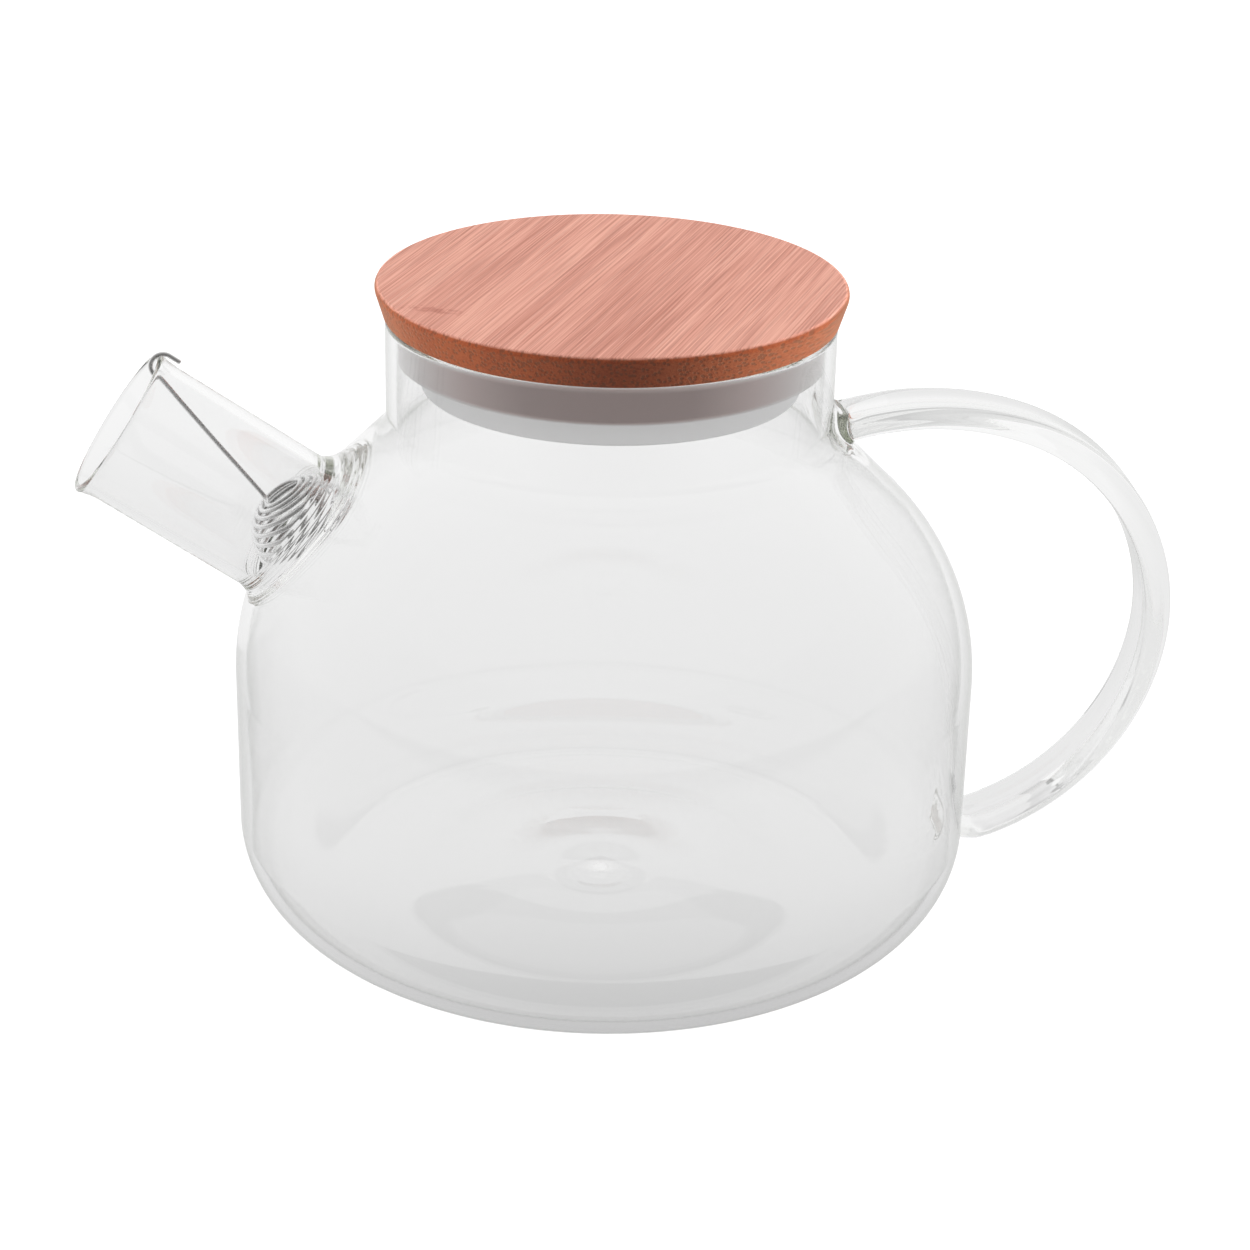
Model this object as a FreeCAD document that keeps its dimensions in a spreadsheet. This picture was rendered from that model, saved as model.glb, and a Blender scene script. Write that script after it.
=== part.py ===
import FreeCAD, Part
import math
import os

import Sketcher

# Glass teapot: a blown pot with a fused spout and strap handle, a turned bamboo lid with a
# silicone seal, and a bent wire strainer in the spout.
# Millimetres. +Z is up, the spout points to -X and the handle to +X.
# The origin is the centre of the foot ring, on the table.

Vector = FreeCAD.Vector

# Driving dimensions: name, value and meaning. Lengths in millimetres, angles in degrees.
SIZES = (
    ("body_radius", 70.0, "outer radius of the pot at its widest"),
    ("heel_radius", 18.0, "outer round between the foot and the side"),
    ("foot_inner_radius", 38.0, "where the foot ring ends and the raised base starts"),
    ("base_rise", 3.0, "how far the middle of the base is pushed up"),
    ("button_radius", 5.5, "radius of the glass button in the middle of the base"),
    ("button_rise", 1.6, "height of that button above the base"),
    ("shoulder_height", 48.0, "height where the side starts to close in"),
    ("shoulder_radius", 46.0, "outer radius of the shoulder's round"),
    ("shoulder_angle", 45.0, "slope of the cone that leads to the neck"),
    ("neck_radius", 41.2, "outer radius of the neck"),
    ("neck_fillet", 8.0, "outer fillet between shoulder and neck"),
    ("rim_height", 117.5, "top of the glass rim"),
    ("wall", 2.0, "wall of the blown pot"),
    ("spout_angle", 34.4, "slope of the spout's axis above the level"),
    ("spout_height", 77.1, "height where the spout's axis meets the pot's outer face"),
    ("spout_length", 35.2, "length of the spout tube along its axis"),
    ("spout_radius", 14.0, "outer radius of the spout tube"),
    ("spout_wall", 2.0, "wall of the spout tube"),
    ("lip_length", 5.0, "length of the flare at the spout's mouth"),
    ("lip_flare", 1.0, "how far that flare opens"),
    ("collar_length", 1.6, "from the pot's outer face to the spout tube's root, on the axis"),
    ("collar_flare", 6.0, "radius of the hollow round of the spout's collar"),
    ("strap_width", 12.0, "width of the handle strap"),
    ("strap_thickness", 5.4, "thickness of the handle strap"),
    ("strap_corner", 2.4, "round on the strap's edges"),
    ("handle_reach", 106.0, "distance of the strap's middle line from the pot's axis"),
    ("handle_top_height", 96.4, "height of the strap's upper end"),
    ("handle_foot_height", 12.3, "height of the strap's lower end"),
    ("upper_pad_length", 3.9, "from the pot's outer face to the strap's upper end, on the level"),
    ("lower_pad_length", 5.7, "from the pot's outer face to the strap's lower end, on the level"),
    ("upper_pad_flare", 4.0, "how far the upper pad widens on each side at its root"),
    ("lower_pad_flare", 2.0, "how far the lower pad widens on each side at its root"),
    ("pad_root", 6.0, "depth of a pad's widest section inside the pot's outer face"),
    ("handle_start_angle", 14.8, "slope of the strap at its upper end"),
    ("handle_shoulder_angle", -19.7, "slope where the strap's top bend tightens"),
    ("handle_back_angle", -99.4, "slope where the strap's lower bend starts"),
    ("handle_end_angle", -160.0, "slope of the strap at its lower end"),
    ("lid_radius", 43.3, "radius of the bamboo board's top"),
    ("lid_taper", 1.8, "how much smaller the board's underside is"),
    ("lid_thickness", 5.8, "thickness of the bamboo board"),
    ("lid_edge_round", 0.9, "round on the board's upper edge"),
    ("lid_seat_gap", 0.3, "gap between the board and the glass rim"),
    ("plug_radius", 33.0, "radius of the bamboo plug under the board"),
    ("plug_depth", 11.8, "depth of the plug below the board"),
    ("seal_clearance", 0.3, "gap between the seal's band and the neck"),
    ("seal_bore_gap", 0.1, "gap between the seal's bore and the plug"),
    ("seal_band_depth", 7.8, "depth of the seal's thick upper band"),
    ("seal_sleeve_wall", 1.7, "wall of the seal's lower sleeve"),
    ("seal_sleeve_depth", 12.8, "depth of the whole seal below the board"),
    ("seal_round", 1.2, "round on the seal's band"),
    ("wire_radius", 0.45, "radius of the strainer's wire"),
    ("hook_gap", 0.35, "gap between the strainer's hook and the spout's glass"),
    ("hook_leg", 1.8, "length of the hook's outer leg"),
    ("hook_inner_leg", 0.5, "run from the hook's round to the stem, inside the spout"),
    ("stem_bend", 1.6, "bend radius at both ends of the strainer's stem"),
    ("coil_gap", 1.15, "gap between the widest turn and the spout's bore"),
    ("coil_tip_radius", 3.3, "radius of the coil's smallest turn"),
    ("coil_length", 9.8, "length of the coil along its own axis"),
    ("coil_turns", 8.0, "number of turns of the coil"),
    ("coil_angle", 22.0, "how much steeper the coil stands than the spout"),
    ("coil_lead", 1.9, "run from the stem's last corner to the coil's first turn"),
    ("coil_depth", 6.5, "depth of the widest turn's centre behind the tube's root"),
    ("coil_rise", 0.8, "height of the widest turn's centre above the spout's axis"),
)


def make_sheet(doc):
    """Put the driving dimensions in a spreadsheet, one named cell each."""
    sheet = doc.addObject("Spreadsheet::Sheet", "Sizes")
    for row, (name, value, meaning) in enumerate(SIZES, start=1):
        sheet.set(f"A{row}", meaning)
        sheet.set(f"B{row}", str(value))
        sheet.setAlias(f"B{row}", name)
    doc.recompute()
    return sheet


doc = FreeCAD.newDocument("glass_teapot")
sheet = make_sheet(doc)


def size(name):
    """Value of a driving dimension."""
    return float(sheet.get(name))


def polar(centre, radius, degrees):
    """Point of a circle in a sketch."""
    angle = math.radians(degrees)
    return (centre[0] + radius * math.cos(angle), centre[1] + radius * math.sin(angle))


def sketch_in(body, name, role, offset=None):
    """Sketch on one of a body's own origin planes, moved by an offset."""
    sketch = body.newObject("Sketcher::SketchObject", name)
    planes = [feature for feature in body.Origin.OriginFeatures if feature.Role == role]
    sketch.AttachmentSupport = (planes[0], [""])
    sketch.MapMode = "FlatFace"
    if offset is not None:
        sketch.AttachmentOffset = offset
    return sketch


def bind(sketch, constraint, name, formula):
    """Add a named dimension to a sketch and tie it to the sheet."""
    index = sketch.addConstraint(constraint)
    sketch.renameConstraint(index, name)
    sketch.setExpression("Constraints." + name, formula)


class Outline:
    """A chain of lines and arcs in a sketch, joined end to end."""

    def __init__(self, sketch, start):
        self.sketch = sketch
        self.start = start
        self.at = start
        self.first = None
        self.last = None

    def add(self, curve, first_end, last_end):
        """Add a curve and join it to the one before."""
        index = self.sketch.addGeometry(curve, False)
        if self.last is not None:
            self.sketch.addConstraint(Sketcher.Constraint("Coincident", *self.last, index, first_end))
        else:
            self.first = (index, first_end)
        self.last = (index, last_end)
        return index

    def line(self, point):
        """Straight run to a point."""
        curve = Part.LineSegment(Vector(*self.at, 0), Vector(*point, 0))
        self.at = point
        return self.add(curve, 1, 2)

    def arc(self, centre, point, left=True):
        """Arc about a centre to a point, turning left or right."""
        radius = math.dist(centre, self.at)
        ends = [math.atan2(p[1] - centre[1], p[0] - centre[0]) for p in (self.at, point)]
        circle = Part.Circle(Vector(*centre, 0), Vector(0, 0, 1), radius)
        self.at = point
        if left:
            return self.add(Part.ArcOfCircle(circle, ends[0], ends[1]), 1, 2)
        return self.add(Part.ArcOfCircle(circle, ends[1], ends[0]), 2, 1)

    def close(self):
        """Join the last end to the first."""
        if math.dist(self.at, self.start) > 1e-6:
            self.line(self.start)
        self.sketch.addConstraint(Sketcher.Constraint("Coincident", *self.last, *self.first))


def new_body(name):
    """Empty body with its label."""
    body = doc.addObject("PartDesign::Body", name)
    body.Label = name
    return body


def revolve(body, sketch):
    """Turn a sketch once round its upright axis."""
    turn = body.newObject("PartDesign::Revolution", body.Name + "_turn")
    turn.Profile = sketch
    turn.ReferenceAxis = (sketch, ["V_Axis"])
    turn.Angle = 360.0
    return turn


def cut(name, base, tool):
    """What is left of one object outside another."""
    piece = doc.addObject("Part::Cut", name)
    piece.Label = name
    piece.Base = base
    piece.Tool = tool
    return piece


def side_centres():
    """Centres of the arcs of the pot's side: heel, shoulder and the fillet under the neck."""
    slope = math.radians(size("shoulder_angle"))
    heel = (size("body_radius") - size("heel_radius"), size("heel_radius"))
    shoulder = (size("body_radius") - size("shoulder_radius"), size("shoulder_height"))
    # The fillet's centre lies its outer radius away from the cone and from the neck.
    cone = polar(shoulder, size("shoulder_radius"), size("shoulder_angle"))
    fillet_x = size("neck_radius") + size("neck_fillet")
    along = cone[0] - fillet_x + size("neck_fillet") * math.cos(slope)
    lift = size("neck_fillet") * math.sin(slope) + along * math.cos(slope) / math.sin(slope)
    return heel, shoulder, (fillet_x, cone[1] + lift)


def outer_radius(height):
    """Radius of the pot's outer face at a height."""
    slope = size("shoulder_angle")
    heel, shoulder, fillet = side_centres()
    cone_start = polar(shoulder, size("shoulder_radius"), slope)
    cone_end = polar(fillet, size("neck_fillet"), 180 + slope)
    if height < heel[1]:
        return heel[0] + math.sqrt(size("heel_radius") ** 2 - (heel[1] - height) ** 2)
    if height < shoulder[1]:
        return size("body_radius")
    if height < cone_start[1]:
        return shoulder[0] + math.sqrt(size("shoulder_radius") ** 2 - (height - shoulder[1]) ** 2)
    if height < cone_end[1]:
        share = (height - cone_start[1]) / (cone_end[1] - cone_start[1])
        return cone_start[0] + share * (cone_end[0] - cone_start[0])
    if height < fillet[1]:
        return fillet[0] - math.sqrt(size("neck_fillet") ** 2 - (fillet[1] - height) ** 2)
    return size("neck_radius")


def pot_side(path, inset):
    """Side of the pot from its foot to its neck, inside or outside the glass."""
    slope = size("shoulder_angle")
    heel_centre, shoulder_centre, fillet_centre = side_centres()
    heel = size("heel_radius") - inset
    shoulder = size("shoulder_radius") - inset
    fillet = size("neck_fillet") + inset
    heel_arc = path.arc(heel_centre, polar(heel_centre, heel, 0))
    side = path.line(polar(shoulder_centre, shoulder, 0))
    shoulder_arc = path.arc(shoulder_centre, polar(shoulder_centre, shoulder, slope))
    path.line(polar(fillet_centre, fillet, 180 + slope))
    path.arc(fillet_centre, polar(fillet_centre, fillet, 180), left=False)
    return heel_arc, side, shoulder_arc


def pot_outline(sketch, hollow):
    """Half section of the pot: the glass itself, or the whole form it fills."""
    wall = size("wall")
    foot = size("foot_inner_radius")
    rise = size("base_rise")
    dome_radius = (foot ** 2 + rise ** 2) / (2 * rise)
    dome = (0.0, rise - dome_radius)
    path = Outline(sketch, (0.0, rise))
    path.arc(dome, (foot, 0.0), left=False)
    path.line((size("body_radius") - size("heel_radius"), 0.0))
    heel_arc, side, shoulder_arc = pot_side(path, 0.0)
    bind(sketch, Sketcher.Constraint("Radius", heel_arc, size("heel_radius")), "heel", "Sizes.heel_radius")
    bind(sketch, Sketcher.Constraint("Radius", shoulder_arc, size("shoulder_radius")), "shoulder",
         "Sizes.shoulder_radius")
    bind(sketch, Sketcher.Constraint("DistanceX", -1, 1, side, 1, size("body_radius")), "widest",
         "Sizes.body_radius")
    rim_centre = (size("neck_radius") - wall / 2, size("rim_height") - wall / 2)
    neck = path.line((size("neck_radius"), rim_centre[1]))
    bind(sketch, Sketcher.Constraint("DistanceX", -1, 1, neck, 2, size("neck_radius")), "neck",
         "Sizes.neck_radius")
    if hollow:
        path.arc(rim_centre, (size("neck_radius") - wall, rim_centre[1]))
        inner_side(path, dome, dome_radius + wall)
    else:
        path.line((0.0, rim_centre[1]))
    path.close()


def inner_side(path, dome, dome_radius):
    """Inside of the pot, from the rim down to the button in the middle of its base."""
    wall = size("wall")
    inside = Outline(path.sketch, (size("body_radius") - size("heel_radius"), wall))
    # The side is drawn upwards, then joined to the rim from above.
    pot_side(inside, wall)
    path.line(inside.at)
    path.sketch.addConstraint(Sketcher.Constraint("Coincident", *path.last, *inside.last))
    path.at = inside.start
    path.last = inside.first
    flat_end = math.sqrt(dome_radius ** 2 - (wall - dome[1]) ** 2)
    path.line((flat_end, wall))
    button = size("button_radius")
    edge = (button, dome[1] + math.sqrt(dome_radius ** 2 - button ** 2))
    path.arc(dome, edge)
    top = dome[1] + dome_radius + size("button_rise")
    drop = top - edge[1]
    button_round = (button ** 2 + drop ** 2) / (2 * drop)
    path.arc((0.0, top - button_round), (0.0, top))


def make_pot(bore_tool):
    """The blown pot, with the spout's hole through its wall."""
    vessel = new_body("vessel")
    sketch = sketch_in(vessel, "vessel_section", "XZ_Plane")
    pot_outline(sketch, hollow=True)
    revolve(vessel, sketch)
    return cut("glass_body", vessel, bore_tool)


def make_envelope():
    """The whole form inside the pot's outer face, which cuts what is fused to it."""
    body = new_body("pot_form")
    sketch = sketch_in(body, "pot_form_section", "XZ_Plane")
    pot_outline(sketch, hollow=False)
    revolve(body, sketch)
    return body


def spout_placement():
    """Frame of the spout: its Z runs out along the axis, and its X is the upper side."""
    slope = math.radians(size("spout_angle"))
    outward = Vector(-math.cos(slope), 0, math.sin(slope))
    upper = Vector(math.sin(slope), 0, math.cos(slope))
    root = Vector(-outer_radius(size("spout_height")), 0, size("spout_height")) + outward * size("collar_length")
    return FreeCAD.Placement(root, FreeCAD.Rotation(upper, Vector(0, 1, 0), outward, "ZXY"))


def make_bore_tool():
    """Cylinder that opens the pot's wall behind the spout."""
    tool = doc.addObject("Part::Cylinder", "spout_bore")
    tool.setExpression("Radius", "Sizes.spout_radius - Sizes.spout_wall")
    tool.setExpression("Height", "2 * Sizes.spout_radius")
    place = spout_placement()
    start = Vector(0, 0, -size("spout_radius"))
    tool.Placement = FreeCAD.Placement(place.multVec(start), place.Rotation)
    return tool


def make_spout_tube():
    """Straight tube with a flared, rounded lip."""
    tube = new_body("spout_tube")
    sketch = sketch_in(tube, "spout_section", "XZ_Plane")
    outer = size("spout_radius")
    wall = size("spout_wall")
    length = size("spout_length")
    flare = size("lip_flare")
    lip_start = length - size("lip_length")
    lip_end = length - wall / 2
    flare_radius = (flare ** 2 + (lip_end - lip_start) ** 2) / (2 * flare)
    path = Outline(sketch, (outer - wall, 0.0))
    root = path.line((outer, 0.0))
    side = path.line((outer, lip_start))
    path.arc((outer + flare_radius, lip_start), (outer + flare, lip_end), left=False)
    path.arc((outer + flare - wall / 2, lip_end), (outer + flare - wall, lip_end))
    path.arc((outer - wall + flare_radius, lip_start), (outer - wall, lip_start))
    path.close()
    bind(sketch, Sketcher.Constraint("DistanceX", root, 1, root, 2, wall), "wall", "Sizes.spout_wall")
    bind(sketch, Sketcher.Constraint("DistanceX", -1, 1, side, 1, outer), "outside", "Sizes.spout_radius")
    bind(sketch, Sketcher.Constraint("DistanceY", side, 1, side, 2, lip_start), "straight",
         "Sizes.spout_length - Sizes.lip_length")
    revolve(tube, sketch)
    tube.Placement = spout_placement()
    return tube


def make_spout_collar(envelope):
    """Flared ring of glass that fuses the spout's tube to the pot."""
    ring = new_body("collar_ring")
    sketch = sketch_in(ring, "collar_section", "XZ_Plane")
    outer = size("spout_radius")
    bore = outer - size("spout_wall")
    flare = size("collar_flare")
    path = Outline(sketch, (bore, 0.0))
    path.line((bore, -outer))
    foot = path.line((outer + flare, -outer))
    path.line((outer + flare, -flare))
    hollow = path.arc((outer + flare, 0.0), (outer, 0.0), left=False)
    path.close()
    bind(sketch, Sketcher.Constraint("Radius", hollow, flare), "hollow", "Sizes.collar_flare")
    bind(sketch, Sketcher.Constraint("DistanceX", foot, 1, foot, 2, outer + flare - bore), "foot",
         "Sizes.spout_wall + Sizes.collar_flare")
    revolve(ring, sketch)
    ring.Placement = spout_placement()
    return cut("spout_collar", ring, envelope)


def arc_step(radius, start_slope, end_slope):
    """How far an arc that turns downwards takes the strap, across and up."""
    start = math.radians(start_slope)
    end = math.radians(end_slope)
    return (radius * (math.sin(start) - math.sin(end)), radius * (math.cos(end) - math.cos(start)))


def strap_ends():
    """Upper and lower end of the strap's middle line."""
    ends = []
    for height, pad in (("handle_top_height", "upper_pad_length"), ("handle_foot_height", "lower_pad_length")):
        ends.append((outer_radius(size(height)) + size(pad), size(height)))
    return ends


def strap_slopes():
    """Slopes between which the strap's three bends run."""
    return [size("handle_" + name + "_angle") for name in ("start", "shoulder", "back", "end")]


def strap_radii():
    """Radii of the three bends that join both ends and keep the handle's reach."""
    upper, lower = strap_ends()
    slopes = strap_slopes()
    steps = [arc_step(1.0, slopes[i], slopes[i + 1]) for i in range(3)]
    to_reach = arc_step(1.0, slopes[1], -90.0)[0]
    # Reach, distance and height each give one equation in the three radii.
    rows = FreeCAD.Matrix(
        steps[0][0], to_reach, 0, 0,
        steps[0][0], steps[1][0], steps[2][0], 0,
        steps[0][1], steps[1][1], steps[2][1], 0,
        0, 0, 0, 1)
    wanted = Vector(size("handle_reach") - upper[0], lower[0] - upper[0], lower[1] - upper[1])
    return tuple(rows.inverse().multVec(wanted))


def rounded_rectangle(sketch, width, thickness, corner, formulas):
    """Section with rounded corners about the sketch's origin, tied to three formulas."""
    x = width / 2
    y = thickness / 2
    corners = ((x, -y, -90), (x, y, 0), (-x, y, 90), (-x, -y, 180))
    arcs = []
    for cx, cy, angle in corners:
        centre = (cx - math.copysign(corner, cx), cy - math.copysign(corner, cy))
        circle = Part.Circle(Vector(*centre, 0), Vector(0, 0, 1), corner)
        start = math.radians(angle)
        arcs.append(sketch.addGeometry(Part.ArcOfCircle(circle, start, start + math.pi / 2), False))
    lines = []
    for i in range(4):
        begin = sketch.getPoint(arcs[i], 2)
        end = sketch.getPoint(arcs[(i + 1) % 4], 1)
        lines.append(sketch.addGeometry(Part.LineSegment(begin, end), False))
    for i in range(4):
        sketch.addConstraint(Sketcher.Constraint("Tangent", arcs[i], 2, lines[i], 1))
        sketch.addConstraint(Sketcher.Constraint("Tangent", lines[i], 2, arcs[(i + 1) % 4], 1))
    for i in range(3):
        sketch.addConstraint(Sketcher.Constraint("Equal", arcs[i], arcs[i + 1]))
    sketch.addConstraint(Sketcher.Constraint("Vertical", lines[0]))
    sketch.addConstraint(Sketcher.Constraint("Horizontal", lines[1]))
    sketch.addConstraint(Sketcher.Constraint("Symmetric", lines[0], 1, lines[2], 1, -1, 1))
    bind(sketch, Sketcher.Constraint("DistanceX", lines[2], 1, lines[0], 1, width), "width", formulas[0])
    bind(sketch, Sketcher.Constraint("DistanceY", lines[3], 1, lines[1], 1, thickness), "height", formulas[1])
    bind(sketch, Sketcher.Constraint("Radius", arcs[0], corner), "corner", formulas[2])


def across(direction):
    """Rotation whose Z is a direction in the handle's plane, and whose X is the strap's width."""
    return FreeCAD.Rotation(Vector(0, 1, 0), Vector(0, 0, 1), direction, "ZXY")


def heading(slope):
    """Direction in the handle's plane."""
    return Vector(math.cos(math.radians(slope)), 0, math.sin(math.radians(slope)))


def make_handle_strap():
    """Flat strap of glass swept along three bends."""
    strap = new_body("handle_strap")
    spine = sketch_in(strap, "strap_line", "XZ_Plane")
    slopes = strap_slopes()
    upper = strap_ends()[0]
    path = Outline(spine, upper)
    for radius, start, end in zip(strap_radii(), slopes, slopes[1:]):
        centre = polar(path.at, radius, start - 90)
        path.arc(centre, polar(centre, radius, end + 90), left=False)
    start_place = FreeCAD.Placement(Vector(upper[0], 0, upper[1]), across(heading(slopes[0])))
    section = sketch_in(strap, "strap_section", "XY_Plane", start_place)
    rounded_rectangle(
        section, size("strap_width"), size("strap_thickness"), size("strap_corner"),
        ("Sizes.strap_width", "Sizes.strap_thickness", "Sizes.strap_corner"))
    sweep = strap.newObject("PartDesign::AdditivePipe", "strap_sweep")
    sweep.Profile = section
    sweep.Spine = spine
    return strap


def make_handle_pad(name, end, direction, envelope):
    """Gather of glass between one end of the strap and the pot, widening towards the pot."""
    blank = new_body(f"handle_{name}_blank")
    depth = size(name + "_length") + size("pad_root")
    flare = size(name + "_flare")
    sections = []
    # Share of the depth, and of the flare, at each of the pad's three sections.
    for i, (share, widening) in enumerate(((0.0, 0.0), (0.4, 0.2), (1.0, 1.0))):
        shift = FreeCAD.Placement(Vector(0, 0, share * depth), FreeCAD.Rotation())
        sketch = sketch_in(blank, f"{name}_section_{i}", "XY_Plane", shift)
        growth = widening * flare
        extra = f"{widening} * Sizes.{name}_flare"
        rounded_rectangle(
            sketch, size("strap_width") + 2 * growth, size("strap_thickness") + 2 * growth,
            size("strap_corner") + growth,
            (f"Sizes.strap_width + 2 * {extra}", f"Sizes.strap_thickness + 2 * {extra}",
             f"Sizes.strap_corner + {extra}"))
        sections.append(sketch)
    loft = blank.newObject("PartDesign::AdditiveLoft", name + "_loft")
    loft.Profile = sections[0]
    loft.Sections = sections[1:]
    blank.Placement = FreeCAD.Placement(Vector(end[0], 0, end[1]), across(direction))
    return cut("handle_" + name, blank, envelope)


def board_underside():
    """Height of the bamboo board's underside."""
    return size("rim_height") + size("lid_seat_gap")


def make_lid_board():
    """Turned bamboo board with a tapered edge and a rounded upper corner."""
    board = new_body("lid_board")
    sketch = sketch_in(board, "board_section", "XZ_Plane")
    bottom = board_underside()
    top = bottom + size("lid_thickness")
    radius = size("lid_radius")
    corner = size("lid_edge_round")
    path = Outline(sketch, (0.0, bottom))
    path.line((radius - size("lid_taper"), bottom))
    path.line((radius, top - corner))
    path.arc((radius - corner, top - corner), (radius - corner, top))
    path.line((0.0, top))
    path.close()
    revolve(board, sketch)
    return board


def make_lid_plug():
    """Bamboo plug under the board, which carries the seal."""
    plug = doc.addObject("Part::Cylinder", "lid_plug")
    plug.Label = "lid_plug"
    plug.setExpression("Radius", "Sizes.plug_radius")
    plug.setExpression("Height", "Sizes.plug_depth")
    plug.setExpression("Placement.Base.z", "Sizes.rim_height + Sizes.lid_seat_gap - Sizes.plug_depth")
    return plug


def make_lid_seal():
    """Silicone ring: a thick band against the neck, and a thinner sleeve below it."""
    seal = new_body("lid_seal")
    sketch = sketch_in(seal, "seal_section", "XZ_Plane")
    top = board_underside()
    bore = size("plug_radius") + size("seal_bore_gap")
    band = size("neck_radius") - size("wall") - size("seal_clearance")
    sleeve = bore + size("seal_sleeve_wall")
    band_end = top - size("seal_band_depth")
    bend = size("seal_round")
    path = Outline(sketch, (bore, top))
    bottom = path.line((bore, top - size("seal_sleeve_depth")))
    path.line((sleeve, path.at[1]))
    path.line((sleeve, band_end))
    path.line((band - bend, band_end))
    path.arc((band - bend, band_end + bend), (band, band_end + bend))
    path.line((band, top - bend))
    path.arc((band - bend, top - bend), (band - bend, top))
    path.close()
    bind(sketch, Sketcher.Constraint("DistanceX", -1, 1, bottom, 1, bore), "bore",
         "Sizes.plug_radius + Sizes.seal_bore_gap")
    revolve(seal, sketch)
    return seal


def arc_edge(start, tangent, end):
    """Arc that leaves a point along a tangent and ends at another point."""
    chord = end - start
    length = chord.Length
    unit = chord * (1 / length)
    bend = math.acos(max(-1.0, min(1.0, tangent.dot(unit))))
    if bend < 1e-7:
        return Part.LineSegment(start, end).toShape()
    side = (tangent - unit * math.cos(bend)) * (1 / math.sin(bend))
    middle = start + chord * 0.5 + side * (length / 2 * math.tan(bend / 2))
    return Part.Arc(start, middle, end).toShape()


def biarc(start, start_tangent, end, end_tangent):
    """Two arcs that join two points with their tangents."""
    chord = end - start
    both = start_tangent + end_tangent
    spread = 2 * (1 - start_tangent.dot(end_tangent))
    across_both = chord.dot(both)
    reach = (math.sqrt(across_both ** 2 + spread * chord.dot(chord)) - across_both) / spread
    middle = (start + end + (start_tangent - end_tangent) * reach) * 0.5
    first = arc_edge(start, start_tangent, middle)
    second = arc_edge(end, end_tangent * -1, middle)
    return [first, second]


class StrainerCoil:
    """Domed coil in the spout's frame, from its small turn near the mouth to its wide one."""

    def __init__(self):
        tilt = math.radians(size("coil_angle"))
        self.axis = Vector(math.sin(tilt), 0, math.cos(tilt))
        self.side = Vector(-math.cos(tilt), 0, math.sin(tilt))
        self.base = Vector(size("coil_rise"), 0, -size("coil_depth"))
        self.tip = size("coil_tip_radius")
        bore = size("spout_radius") - size("spout_wall")
        self.wide = bore - size("coil_gap") - size("wire_radius")

    def point(self, turn):
        """Point of the coil's middle line after a number of turns."""
        share = turn / size("coil_turns") * math.pi / 2
        angle = 2 * math.pi * turn
        radius = self.tip + (self.wide - self.tip) * math.sin(share)
        centre = self.base + self.axis * (size("coil_length") * math.cos(share))
        return centre + self.side * (radius * math.cos(angle)) + Vector(0, -radius * math.sin(angle), 0)

    def tangent(self, turn):
        """Direction of the coil's middle line after a number of turns."""
        step = 1e-5
        return (self.point(turn + step) - self.point(turn - step)).normalize()

    def edges(self):
        """Quarter turns as pairs of arcs."""
        quarters = round(4 * size("coil_turns"))
        edges = []
        for i in range(quarters):
            begin = i / 4
            end = (i + 1) / 4
            edges += biarc(self.point(begin), self.tangent(begin), self.point(end), self.tangent(end))
        return edges

    def least_gap(self):
        """Least gap between turns, measured on points of the middle line."""
        per_turn = 48
        count = round(per_turn * size("coil_turns"))
        points = [self.point(i / per_turn) for i in range(count + 1)]
        gaps = [points[i].distanceToPoint(points[j])
                for i in range(count + 1) for j in range(i + per_turn // 2, count + 1)]
        return min(gaps) - 2 * size("wire_radius")


def bent_wire(corners, bends):
    """Straight runs through corner points, with an arc of its own radius at each inner one."""
    edges = []
    at = corners[0]
    for before, corner, after, radius in zip(corners, corners[1:], corners[2:], bends):
        arrive = (corner - before).normalize()
        leave = (after - corner).normalize()
        set_back = radius * math.tan(arrive.getAngle(leave) / 2)
        begin = corner - arrive * set_back
        if at.distanceToPoint(begin) > 1e-6:
            edges.append(Part.LineSegment(at, begin).toShape())
        at = corner + leave * set_back
        edges.append(arc_edge(begin, arrive, at))
    if at.distanceToPoint(corners[-1]) > 1e-6:
        edges.append(Part.LineSegment(at, corners[-1]).toShape())
    return edges


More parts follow.
